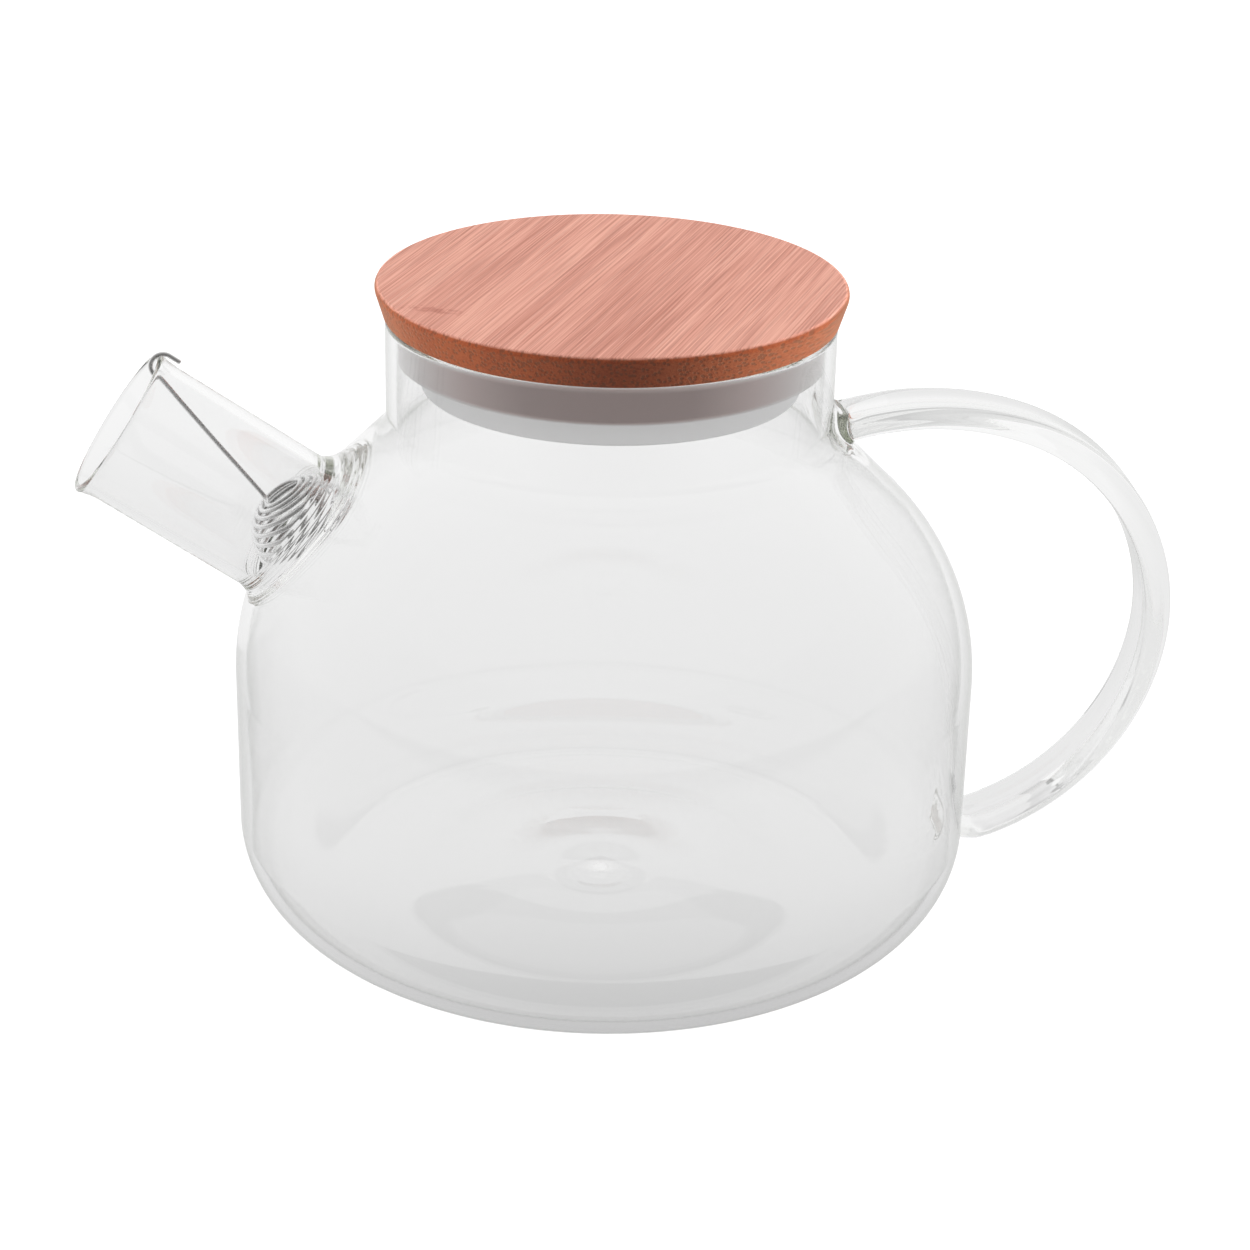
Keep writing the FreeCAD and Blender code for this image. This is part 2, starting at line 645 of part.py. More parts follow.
def make_strainer():
    """One wire: a hook over the spout's lip, a straight stem and the coil."""
    wire_radius = size("wire_radius")
    gap = size("hook_gap") + wire_radius
    outer_leg = size("spout_radius") + size("lip_flare") + gap
    inner_leg = size("spout_radius") - size("spout_wall") - gap
    hook_round = (outer_leg - inner_leg) / 2
    hook_top = size("spout_length") + gap
    hook_foot = hook_top - hook_round
    hook_end = hook_foot - size("hook_leg")
    stem_start = hook_foot - size("hook_inner_leg")
    bend = size("stem_bend")
    coil = StrainerCoil()
    first = coil.point(0)
    lead = first - coil.tangent(0) * size("coil_lead")
    corners = [Vector(outer_leg, 0, hook_end), Vector(outer_leg, 0, hook_top),
               Vector(inner_leg, 0, hook_top), Vector(inner_leg, 0, stem_start), lead, first]
    edges = bent_wire(corners, (hook_round, hook_round, bend, bend))
    edges += coil.edges()
    last = coil.point(size("coil_turns"))
    tail = last + coil.tangent(size("coil_turns")) * (2 * wire_radius)
    edges.append(Part.LineSegment(last, tail).toShape())
    path = Part.Wire(edges)
    section = Part.Wire([Part.Circle(corners[0], Vector(0, 0, 1), wire_radius).toShape()])
    shell = Part.BRepOffsetAPI.MakePipeShell(path)
    shell.add(section)
    shell.build()
    shell.makeSolid()
    strainer = doc.addObject("Part::Feature", "spout_strainer")
    strainer.Label = "spout_strainer"
    strainer.Shape = shell.shape()
    strainer.Placement = spout_placement()
    expected = math.pi * wire_radius ** 2 * path.Length
    print(f"strainer wire {path.Length:.1f} mm long, volume share {strainer.Shape.Volume / expected:.4f}, "
          f"least gap between turns {coil.least_gap():.2f} mm")
    return strainer


def make_parts():
    """Every sub-part of the teapot, in the order of its making."""
    envelope = make_envelope()
    upper, lower = strap_ends()
    slopes = strap_slopes()
    parts = [
        make_pot(make_bore_tool()),
        make_spout_tube(),
        make_spout_collar(envelope),
        make_handle_strap(),
        make_handle_pad("upper_pad", upper, heading(slopes[0]) * -1, envelope),
        make_handle_pad("lower_pad", lower, heading(slopes[-1]), envelope),
        make_lid_board(),
        make_lid_plug(),
        make_lid_seal(),
        make_strainer(),
    ]
    doc.recompute()
    return parts


def check(parts):
    """Stop if any object failed or any sub-part isn't one sound solid."""
    for thing in doc.Objects:
        if "Invalid" in thing.State or "Error" in thing.State:
            raise RuntimeError(f"{thing.Label} failed: {thing.State}")
    for part in parts:
        shape = part.Shape
        if shape.isNull() or not shape.isValid() or len(shape.Solids) != 1:
            raise RuntimeError(f"{part.Label} isn't one sound solid")


def write(parts):
    """Write each sub-part to a file with its label's name."""
    os.makedirs("parts", exist_ok=True)
    for part in parts:
        part.Shape.exportStep(f"parts/{part.Label}.step")
        print(f"{part.Label}: {part.Shape.Volume / 1000:.2f} cm3")


teapot = make_parts()
check(teapot)
write(teapot)
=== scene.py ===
"""Glass teapot: the visual model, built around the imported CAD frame.

Sizes are in millimetres and angles in degrees, and meshes are scaled to metres when they are made.
+Z is up, the spout points to -X and the handle to +X, as in the CAD.
"""

import logging
import math
from dataclasses import dataclass, field
from enum import Enum

import bpy
import numpy as np
from mathutils import Matrix, Vector
from mathutils.geometry import delaunay_2d_cdt


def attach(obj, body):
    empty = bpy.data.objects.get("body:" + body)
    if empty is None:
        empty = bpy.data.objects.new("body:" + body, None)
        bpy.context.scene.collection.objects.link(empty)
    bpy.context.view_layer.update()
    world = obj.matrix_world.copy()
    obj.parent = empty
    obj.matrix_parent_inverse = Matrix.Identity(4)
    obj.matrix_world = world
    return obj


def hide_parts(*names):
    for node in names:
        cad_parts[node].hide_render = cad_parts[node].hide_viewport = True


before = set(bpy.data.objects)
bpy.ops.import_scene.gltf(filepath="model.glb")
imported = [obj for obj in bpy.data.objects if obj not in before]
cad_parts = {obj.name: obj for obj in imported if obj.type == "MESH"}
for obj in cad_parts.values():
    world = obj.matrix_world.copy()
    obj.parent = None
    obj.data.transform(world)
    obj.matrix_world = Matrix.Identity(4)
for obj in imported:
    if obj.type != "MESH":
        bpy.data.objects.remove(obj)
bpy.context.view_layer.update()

Array = np.ndarray
Socket = bpy.types.NodeSocket
Level = float | Socket
Pair = tuple[float, float]
Triple = tuple[float, float, float]
MM = 0.001
TINY = 1e-6
NO_STEP = 1e-9
SEARCH_STEPS = 50
DOME_ANGLES = (75.0, 50.0, 25.0)
LIGHT_BOUNCES = 256
log = logging.getLogger("teapot")


class Body(str, Enum):
    """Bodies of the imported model."""

    POT = "pot"
    LID = "lid"
    STRAINER = "strainer"


class Slot(str, Enum):
    """Material slots of the record."""

    GLASS = "clear_glass"
    BAMBOO = "bamboo"
    SILICONE = "silicone"
    WIRE = "steel_wire"


def unit(vectors: Array) -> Array:
    """Vectors of length one along the last axis."""
    return vectors / np.linalg.norm(vectors, axis=-1, keepdims=True)


def polar(centre: Pair, radius: float, degrees: float) -> Pair:
    """Point of a circle."""
    angle = math.radians(degrees)
    return centre[0] + radius * math.cos(angle), centre[1] + radius * math.sin(angle)


def smooth_step(values: Array) -> Array:
    """Rise from nought to one with level ends."""
    share = np.clip(values, 0.0, 1.0)
    return share * share * (3.0 - 2.0 * share)


class Profile:
    """Half section of a turned form, walked with its material on the left."""

    def __init__(self, closed: bool = False) -> None:
        """Start an empty section.

        Args:
            closed: whether its end joins its start, as in a ring.
        """
        self.closed = closed
        self.points: Array = np.zeros((0, 2))
        self.normals: Array = np.zeros((0, 2))

    def add(self, points: Array, normals: Array) -> None:
        """Append a run, and leave out a first point that is there already."""
        if len(self.points) and np.linalg.norm(points[0] - self.points[-1]) < TINY:
            points, normals = points[1:], normals[1:]
        self.points = np.vstack([self.points, points])
        self.normals = np.vstack([self.normals, normals])

    def line(self, start: Pair, end: Pair, step: float) -> None:
        """Append a straight run."""
        count = max(1, round(math.dist(start, end) / step))
        share = np.linspace(0.0, 1.0, count + 1)[:, None]
        points = np.array(start) * (1 - share) + np.array(end) * share
        along = unit(np.array(end) - np.array(start))
        self.add(points, np.tile([along[1], -along[0]], (count + 1, 1)))

    def arc(self, centre: Pair, radius: float, start: float, end: float, step: float) -> None:
        """Append an arc; it is convex where its angle grows, and hollow where it falls."""
        count = max(3, round(radius * abs(math.radians(end - start)) / step))
        angles = np.radians(np.linspace(start, end, count + 1))
        rays = np.stack([np.cos(angles), np.sin(angles)], axis=1)
        self.add(np.array(centre) + radius * rays, rays * math.copysign(1.0, end - start))

    def corners(self, corners: list[Triple], step: float) -> None:
        """Append straight runs through corners, each rounded by its own radius.

        Args:
            corners: distance from the axis, height and radius of each corner.
            step: length of one face along the section.
        """
        total = len(corners)
        cuts = []
        for i, (x, z, radius) in enumerate(corners):
            here = np.array([x, z])
            if radius == 0.0:
                cuts.append((here, here, None))
                continue
            before = unit(np.array(corners[i - 1][:2]) - here)
            after = unit(np.array(corners[(i + 1) % total][:2]) - here)
            half = math.acos(float(np.clip(before @ after, -1, 1))) / 2
            centre = here + unit(before + after) * (radius / math.sin(half))
            back = radius / math.tan(half)
            cuts.append((here + before * back, here + after * back, centre))
        for i, (arrive, leave, centre) in enumerate(cuts):
            if centre is not None:
                first = math.degrees(math.atan2(*(arrive - centre)[::-1]))
                turn = math.degrees(math.atan2(*(leave - centre)[::-1])) - first
                turn = (turn + 180.0) % 360.0 - 180.0
                radius = float(np.linalg.norm(arrive - centre))
                self.arc(tuple(centre), radius, first, first + turn, min(step, radius / 3))
            last = i + 1 == total
            if not last or self.closed:
                self.line(tuple(leave), tuple(cuts[(i + 1) % total][0]), step)
        if self.closed:
            self.points, self.normals = self.points[:-1], self.normals[:-1]

    def length_along(self) -> Array:
        """Distance along the section at each of its points."""
        steps = np.linalg.norm(np.diff(self.points, axis=0), axis=1)
        return np.concatenate([[0.0], np.cumsum(steps)])


class Skin:
    """Points, normals and faces of one closed surface, gathered run by run."""

    def __init__(self) -> None:
        """Start with nothing."""
        self.points: list[Array] = []
        self.normals: list[Array] = []
        self.faces: list[tuple[int, ...]] = []
        self.count = 0

    def add(self, points: Array, normals: Array) -> Array:
        """Add points with their normals.

        Returns:
            Their numbers, in the shape of the points.
        """
        flat = points.reshape(-1, 3)
        self.points.append(flat)
        self.normals.append(normals.reshape(-1, 3))
        numbers = np.arange(self.count, self.count + len(flat))
        self.count += len(flat)
        return numbers.reshape(points.shape[:-1])

    def quads(self, numbers: Array, keep: Array | None = None) -> None:
        """Add the faces of a grid whose columns run round and close.

        Args:
            numbers: the grid's points, row by row.
            keep: which faces to add, or None for all.
        """
        right = np.roll(numbers, -1, axis=1)
        cells = np.stack([numbers[:-1], right[:-1], right[1:], numbers[1:]], axis=-1)
        chosen = cells.reshape(-1, 4) if keep is None else cells[keep]
        self.faces.extend(map(tuple, chosen.tolist()))

    def fan(self, centre: int, ring: Array) -> None:
        """Add triangles from one point to a ring that turns left about its normal."""
        for first, second in zip(ring.tolist(), np.roll(ring, -1).tolist()):
            self.faces.append((centre, first, second))

    def gathered(self) -> tuple[Array, Array]:
        """All points and all normals."""
        return np.vstack(self.points), np.vstack(self.normals)

    def mesh(self, name: str, points: Array, normals: Array) -> bpy.types.Mesh:
        """Blender mesh of the faces, without the points that no face uses.

        Args:
            name: name of the mesh.
            points: place of each point in millimetres.
            normals: shading normal at each point.

        Returns:
            The mesh, in metres.
        """
        used = np.zeros(self.count, bool)
        used[np.concatenate([np.array(face) for face in self.faces])] = True
        renumber = np.cumsum(used) - 1
        faces = [[int(renumber[i]) for i in face] for face in self.faces]
        mesh = bpy.data.meshes.new(name)
        mesh.from_pydata((points[used] * MM).tolist(), [], faces)
        mesh.shade_smooth()
        mesh.normals_split_custom_set_from_vertices(normals[used].tolist())
        mesh.validate()
        return mesh


def grid_normals(points: Array) -> Array:
    """Normals of a grid of points whose columns run round and close.

    Args:
        points: rows, columns and three numbers.

    Returns:
        A normal for each point, on the side that the grid's faces turn to.
    """
    around = np.roll(points, -1, axis=1) - np.roll(points, 1, axis=1)
    steps = np.diff(points, axis=0)
    sizes = np.maximum(np.linalg.norm(steps, axis=-1, keepdims=True), NO_STEP)
    rates = steps / sizes
    along = np.empty_like(points)
    along[0], along[-1] = rates[0], rates[-1]
    before, after = sizes[:-1], sizes[1:]
    along[1:-1] = (rates[:-1] * after + rates[1:] * before) / (before + after)
    return unit(np.cross(around, along))


def turned(profile: Profile, columns: int) -> Skin:
    """Skin of a form turned about the upright axis.

    Args:
        profile: its half section.
        columns: faces round the axis.

    Returns:
        The closed skin, with a fan of triangles wherever the section meets the axis.
    """
    skin = Skin()
    numbers = turned_grid(skin, profile, columns)
    if profile.closed:
        skin.quads(np.vstack([numbers, numbers[:1]]))
    else:
        skin.quads(numbers[1:-1])
        close_poles(skin, numbers)
    return skin


def turned_grid(skin: Skin, profile: Profile, columns: int) -> Array:
    """Add the points of a turned form, row by row from the start of its section."""
    angles = column_angles(columns)
    rays = np.stack([np.cos(angles), np.sin(angles)], axis=1)

    def spin(pairs: Array) -> Array:
        """Turn the section's pairs to every column."""
        level = pairs[:, None, :1] * rays[None]
        return np.concatenate([level, np.broadcast_to(pairs[:, None, 1:], level.shape[:2] + (1,))], axis=2)

    return skin.add(spin(profile.points), spin(profile.normals))


def column_angles(columns: int) -> Array:
    """Angles of a turned form's columns; the first lies between spout and handle."""
    return -math.pi / 2 + 2 * math.pi * np.arange(columns) / columns


def close_poles(skin: Skin, numbers: Array) -> None:
    """Close a turned grid where its first and last rows lie on the axis."""
    skin.fan(int(numbers[0, 0]), numbers[1][::-1])
    skin.fan(int(numbers[-1, 0]), numbers[-2])


def show(name: str, mesh: bpy.types.Mesh, finish: bpy.types.Material, body: Body,
         nodes: tuple[str, ...]) -> bpy.types.Object:
    """Put a piece in the scene on its body, in place of its CAD nodes.

    Args:
        name: name of the piece.
        mesh: its mesh.
        finish: its material.
        body: the body it rides on.
        nodes: the CAD nodes that it stands for.

    Returns:
        The piece.
    """
    piece = bpy.data.objects.new(name, mesh)
    mesh.materials.append(finish)
    bpy.context.scene.collection.objects.link(piece)
    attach(piece, body.value)
    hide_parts(*nodes)
    log.info("%s: %d faces on %s for %s", name, len(mesh.polygons), body.value, ", ".join(nodes))
    return piece


class NodeBook:
    """A node tree under construction."""

    def __init__(self, tree: bpy.types.NodeTree) -> None:
        """Take over a tree and empty it."""
        self.tree = tree
        tree.nodes.clear()

    def add(self, kind: str, inputs: dict | None = None, **settings: str) -> bpy.types.Node:
        """Add a node.

        Args:
            kind: Blender's name of the node's class.
            inputs: values or output sockets, by the name or number of the input.
            settings: other settings of the node.

        Returns:
            The node.
        """
        node = self.tree.nodes.new(kind)
        for name, value in settings.items():
            setattr(node, name, value)
        for key, value in (inputs or {}).items():
            if isinstance(value, Socket):
                self.tree.links.new(value, node.inputs[key])
            else:
                node.inputs[key].default_value = value
        return node

    def math(self, operation: str, first: Level, second: Level = 0.0) -> Socket:
        """Result of one sum on two numbers or sockets."""
        return self.add("ShaderNodeMath", {0: first, 1: second}, operation=operation).outputs[0]

    def ramp(self, value: Socket, places: tuple[float, ...], colours: tuple[Triple, ...]) -> Socket:
        """Colour that follows a value through stops, each with its place and its colour."""
        node = self.add("ShaderNodeValToRGB", {"Fac": value})
        points = node.color_ramp.elements
        while len(points) < len(places):
            points.new(places[-1])
        for point, place, colour in zip(points, places, colours):
            point.position = place
            point.color = (*colour, 1.0)
        return node.outputs["Color"]

    def spread(self, value: Socket, source: Pair, target: Pair, kind: str = "LINEAR") -> Socket:
        """Value carried from one range to another."""
        ends = {"From Min": source[0], "From Max": source[1], "To Min": target[0], "To Max": target[1]}
        node = self.add("ShaderNodeMapRange", {"Value": value, **ends}, interpolation_type=kind)
        return node.outputs["Result"]

    def noise(self, vector: Socket, scale: float, detail: float = 2.0) -> Socket:
        """Even noise between nought and one."""
        inputs = {"Vector": vector, "Scale": scale, "Detail": detail}
        return self.add("ShaderNodeTexNoise", inputs).outputs["Fac"]

    def mix(self, share: Level, first: Level, second: Level) -> Socket:
        """Number mixed from two."""
        return self.add("ShaderNodeMix", {0: share, 2: first, 3: second}).outputs[0]

    def place(self) -> Socket:
        """Each point's place on its piece, in metres."""
        return self.add("ShaderNodeTexCoord").outputs["Object"]

    def part(self, vector: Socket, axis: str) -> Socket:
        """One coordinate of a vector."""
        return self.add("ShaderNodeSeparateXYZ", {"Vector": vector}).outputs[axis]

    def away(self, place: Socket, middle: Triple = (0.0, 0.0, 0.0)) -> Socket:
        """Distance from a point."""
        inputs = {0: place, 1: middle}
        return self.add("ShaderNodeVectorMath", inputs, operation="DISTANCE").outputs["Value"]

    def facing(self) -> Socket:
        """Nought where a face is seen straight on, one where it is seen along."""
        return self.add("ShaderNodeLayerWeight").outputs["Facing"]

    def blend(self, share: Level, first: Socket | tuple, second: Socket | tuple, mode: str = "MIX") -> Socket:
        """Colour mixed from two."""
        node = self.add("ShaderNodeMix", {0: share, 6: first, 7: second}, data_type="RGBA", blend_type=mode)
        return node.outputs[2]


def new_material(name: str) -> tuple[bpy.types.Material, NodeBook]:
    """Empty node material and its tree."""
    material = bpy.data.materials.new(name)
    material.use_nodes = True
    return material, NodeBook(material.node_tree)


@dataclass(frozen=True)
class ClearGlass:
    """Blown borosilicate glass, fire polished."""

    clear: Triple = (0.965, 0.965, 0.965)
    # Painted shade: slanting, grazing and rim grey the glass more and more as it is seen along its face, rim
    # being the outline.
    slanting: Triple = (0.84, 0.84, 0.84)
    grazing: Triple = (0.40, 0.41, 0.39)
    rim: Triple = (0.24, 0.25, 0.235)
    tint_places: tuple[float, ...] = (0.52, 0.76, 0.88, 1.0)
    ior: float = 1.47
    absorption: Triple = (0.875, 0.885, 0.85)
    density: float = 6.0
    wave_scale: float = 26.0
    wave_detail: float = 1.0
    wave_depth: float = 0.000012
    haze_scale: float = 90.0
    haze_detail: float = 4.0
    haze_span: Pair = (0.45, 0.8)
    roughness: Pair = (0.0, 0.02)
    # Spout root, handle pads and spout lip, where the painted edge shade fades out.
    melted: tuple[tuple[Triple, float], ...] = (
        ((-60.0, 0.0, 77.0), 25.0), ((43.0, 0.0, 96.0), 10.0), ((67.0, 0.0, 12.0), 11.0),
        ((-84.5, 0.0, 94.3), 20.0))
    melted_core: float = 0.75

    def edge_shade_share(self, book: NodeBook, place: Socket) -> Socket:
        """One where the painted edge shade goes, on the blown glass; nought on the lip and where the spout
        and the handle are melted on.
        """
        share = 1.0
        for centre, reach in self.melted:
            middle = tuple(MM * value for value in centre)
            edge = (self.melted_core * reach * MM, reach * MM)
            share = book.math("MULTIPLY", share, book.spread(book.away(place, middle), edge, (0.0, 1.0)))
        return share

    def material(self) -> bpy.types.Material:
        """Material greyed by painted shade where it is seen along its face, with slow waves and faint
        handling haze.
        """
        material, book = new_material("clear_glass")
        place = book.place()
        waves = book.noise(place, self.wave_scale, self.wave_detail)
        bump = book.add("ShaderNodeBump", {"Height": waves, "Strength": 1.0, "Distance": self.wave_depth})
        haze = book.noise(place, self.haze_scale, self.haze_detail)
        rough = book.spread(haze, self.haze_span, self.roughness)
        # Painted shade: the colour darkens from clear towards the outline.
        slant = book.math("MULTIPLY", book.facing(), self.edge_shade_share(book, place))
        tint = book.ramp(slant, self.tint_places, (self.clear, self.slanting, self.grazing, self.rim))
        shader = book.add("ShaderNodeBsdfPrincipled", {
            "Base Color": tint, "IOR": self.ior, "Transmission Weight": 1.0,
            "Roughness": rough, "Normal": bump.outputs["Normal"]})
        inside = book.add("ShaderNodeVolumeAbsorption", {
            "Color": (*self.absorption, 1.0), "Density": self.density})
        book.add("ShaderNodeOutputMaterial", {
            "Surface": shader.outputs["BSDF"], "Volume": inside.outputs["Volume"]})
        return material


@dataclass(frozen=True)
class Bamboo:
    """Oiled board of glued bamboo strips, a solid grain that shows as lines on top and pores on the edge."""

    pale: Triple = (0.75, 0.372, 0.28)
    warm: Triple = (0.626, 0.278, 0.207)
    deep: Triple = (0.46, 0.177, 0.124)
    pore: Triple = (0.13, 0.035, 0.015)
    edge_tint: Triple = (0.37, 0.155, 0.055)
    edge_span: Pair = (0.95, 0.6)
    edge_sheen: float = 0.4
    sheen_roughness: float = 0.5
    sheen_tint: Triple = (1.0, 0.62, 0.34)
    grain_angle: float = 66.0
    grain_places: tuple[float, ...] = (0.34, 0.49, 0.62)
    line_scale: Triple = (18.0, 2500.0, 2500.0)
    line_detail: float = 3.0
    hair_scale: Triple = (45.0, 5200.0, 5200.0)
    hair_detail: float = 2.0
    bundle_scale: Triple = (45.0, 1400.0, 1400.0)
    bundle_span: Pair = (0.5, 0.3)
    bundle_shade: Pair = (0.13, 0.8)
    strip_width: float = 4.8
    strip_shift: Pair = (-0.05, 0.05)
    polish_span: Pair = (0.3, 0.7)
    roughness: Pair = (0.62, 0.46)
    specular: float = 0.35
    relief: float = 0.35
    relief_depth: float = 0.00012
    node_place: Pair = (-33.0, -16.0)
    node_size: Pair = (2.2, 5.5)
    node_noise: float = 900.0
    node_noise_detail: float = 3.0
    node_noise_span: Pair = (0.3, 0.7)
    node_ragged: Pair = (-0.5, 0.5)
    node_fade: Pair = (1.0, 0.2)
    node_share_most: float = 0.45

    def material(self) -> bpy.types.Material:
        """Material with strips, fibres, pores and one node of the cane."""
        material, book = new_material("bamboo_board")
        place = book.place()
        turn = (0.0, 0.0, -math.radians(self.grain_angle))
        grain = book.add("ShaderNodeMapping", {"Vector": place, "Rotation": turn}).outputs["Vector"]
        tone = self.strip_tone(book, grain)
        lines = self.stretched(book, grain, self.line_scale, self.line_detail)
        hairs = self.stretched(book, grain, self.hair_scale, self.hair_detail)
        streak = book.math("MULTIPLY", book.math("ADD", lines, hairs), 0.5)
        value = book.math("ADD", streak, book.spread(tone, (0.0, 1.0), self.strip_shift))
        colour = book.ramp(value, self.grain_places, (self.deep, self.warm, self.pale))
        bundles, edge = self.bundles(book, grain), self.edge_share(book)
        shade = book.spread(edge, (0.0, 1.0), self.bundle_shade)
        colour = book.blend(edge, colour, book.blend(1.0, colour, (*self.edge_tint, 1.0), "MULTIPLY"))
        colour = book.blend(book.math("MULTIPLY", bundles, shade), colour, (*self.pore, 1.0))
        colour = book.blend(self.node_share(book, place), colour, (*self.deep, 1.0), "MULTIPLY")
        rough = book.spread(streak, self.polish_span, self.roughness)
        height = book.math("SUBTRACT", book.math("MULTIPLY", streak, 0.5), bundles)
        bump = book.add("ShaderNodeBump", {
            "Height": height, "Strength": self.relief, "Distance": self.relief_depth})
        shader = book.add("ShaderNodeBsdfPrincipled", {
            "Base Color": colour, "Roughness": rough, "Specular IOR Level": self.specular,
            "Sheen Weight": book.math("MULTIPLY", edge, self.edge_sheen),
            "Sheen Roughness": self.sheen_roughness, "Sheen Tint": (*self.sheen_tint, 1.0),
            "Normal": bump.outputs["Normal"]})
        book.add("ShaderNodeOutputMaterial", {"Surface": shader.outputs["BSDF"]})
        return material

    def stretched(self, book: NodeBook, grain: Socket, scale: Triple, detail: float) -> Socket:
        """Noise drawn out along the grain."""
        long = book.add("ShaderNodeMapping", {"Vector": grain, "Scale": scale})
        return book.noise(long.outputs["Vector"], 1.0, detail)

    def strip_tone(self, book: NodeBook, grain: Socket) -> Socket:
        """Tone of each glued strip, the same along its whole length."""
        number = book.math("FLOOR", book.math("DIVIDE", book.part(grain, "Y"), self.strip_width * MM))
        return book.add("ShaderNodeTexWhiteNoise", {"W": number}, noise_dimensions="1D").outputs["Value"]

    def bundles(self, book: NodeBook, grain: Socket) -> Socket:
        """Dark fibre bundles: long threads inside the board."""
        long = book.add("ShaderNodeMapping", {"Vector": grain, "Scale": self.bundle_scale})
        cells = book.add("ShaderNodeTexVoronoi", {"Vector": long.outputs["Vector"], "Scale": 1.0})
        return book.spread(cells.outputs["Distance"], self.bundle_span, (0.0, 1.0))

    def edge_share(self, book: NodeBook) -> Socket:
        """One on the turned edge, nought on the flat faces."""
        normal = book.add("ShaderNodeNewGeometry").outputs["Normal"]
        upright = book.math("ABSOLUTE", book.part(normal, "Z"))
        return book.spread(upright, self.edge_span, (0.0, 1.0))

    def node_share(self, book: NodeBook, place: Socket) -> Socket:
        """Darker patch where one strip has a node of the cane."""
        middle = (self.node_place[0] * MM, self.node_place[1] * MM, 0.0)
        patch = book.add("ShaderNodeMapping", {
            "Vector": place, "Location": middle, "Rotation": (0.0, 0.0, math.radians(self.grain_angle)),
            "Scale": (self.node_size[0] * MM, self.node_size[1] * MM, 1.0)}, vector_type="TEXTURE")
        level = {0: patch.outputs["Vector"], 1: (1, 1, 0)}
        flat = book.add("ShaderNodeVectorMath", level, operation="MULTIPLY").outputs["Vector"]
        noise = book.noise(place, self.node_noise, self.node_noise_detail)
        ragged = book.math("ADD", book.away(flat), book.spread(noise, self.node_noise_span, self.node_ragged))
        return book.spread(ragged, self.node_fade, (0.0, self.node_share_most))


@dataclass(frozen=True)
class Silicone:
    """Translucent food grade silicone."""

    # The band's warm colour is partly the bamboo plug seen through the silicone and partly painted shade from
    # the board above; slanting and grazing are painted light that pales the band where it is seen along its
    # face.
    band: Triple = (0.345, 0.267, 0.254)
    slanting: Triple = (0.53, 0.43, 0.415)
    grazing: Triple = (0.8, 0.77, 0.76)
    slant_places: tuple[float, ...] = (0.14, 0.31, 0.65)
    sleeve: Triple = (0.94, 0.94, 0.94)
    band_end: float = 110.0
    soft_edge: float = 0.3
    roughness: float = 0.4

    def material(self) -> bpy.types.Material:
        """Material with a warm band, partly bamboo showing through and partly painted shade, made paler with
        painted light where it is seen along its face, and a pale sleeve below it.
        """
        material, book = new_material("silicone_seal")
        place = book.place()
        edge = ((self.band_end - self.soft_edge) * MM, (self.band_end + self.soft_edge) * MM)
        share = book.spread(book.part(place, "Z"), edge, (0.0, 1.0))
        # Painted light: the band pales towards its edges as seen.
        band = book.ramp(book.facing(), self.slant_places, (self.band, self.slanting, self.grazing))
        colour = book.blend(share, (*self.sleeve, 1.0), band)
        shader = book.add("ShaderNodeBsdfPrincipled", {"Base Color": colour, "Roughness": self.roughness})
        book.add("ShaderNodeOutputMaterial", {"Surface": shader.outputs["BSDF"]})
        return material


@dataclass(frozen=True)
class DrawnWire:
    """Bright stainless wire with drawing marks."""

    # Painted reflection: middle, turning, flank and edge darken the wire where it is seen straight on and
    # brighten it where it is seen along its face.
    middle: Triple = (0.2, 0.197, 0.194)
    turning: Triple = (0.38, 0.375, 0.37)
    flank: Triple = (0.62, 0.615, 0.61)
    edge: Triple = (0.88, 0.88, 0.88)
    slant_places: tuple[float, ...] = (0.0, 0.13, 0.29, 0.5)
    mark_scale: float = 1500.0
    mark_detail: float = 3.0
    mark_span: Pair = (0.3, 0.7)
    roughness: Pair = (0.18, 0.34)

    def material(self) -> bpy.types.Material:
        """Material whose polish varies along the wire, with painted reflection: dark in its middle and bright
        on its flanks.
        """
        material, book = new_material("steel_wire")
        place = book.place()
        marks = book.noise(place, self.mark_scale, self.mark_detail)
        rough = book.spread(marks, self.mark_span, self.roughness)
        shades = (self.middle, self.turning, self.flank, self.edge)
        # Painted reflection: dark where seen straight on, bright where seen along the face.
        tint = book.ramp(book.facing(), self.slant_places, shades)
        shader = book.add("ShaderNodeBsdfPrincipled", {
            "Base Color": tint, "Metallic": 1.0, "Roughness": rough})
        book.add("ShaderNodeOutputMaterial", {"Surface": shader.outputs["BSDF"]})
        return material


@dataclass
class Weld:
    """A loop on the pot's skin where other glass runs into it."""

    numbers: Array
    angles: Array
    along: Array


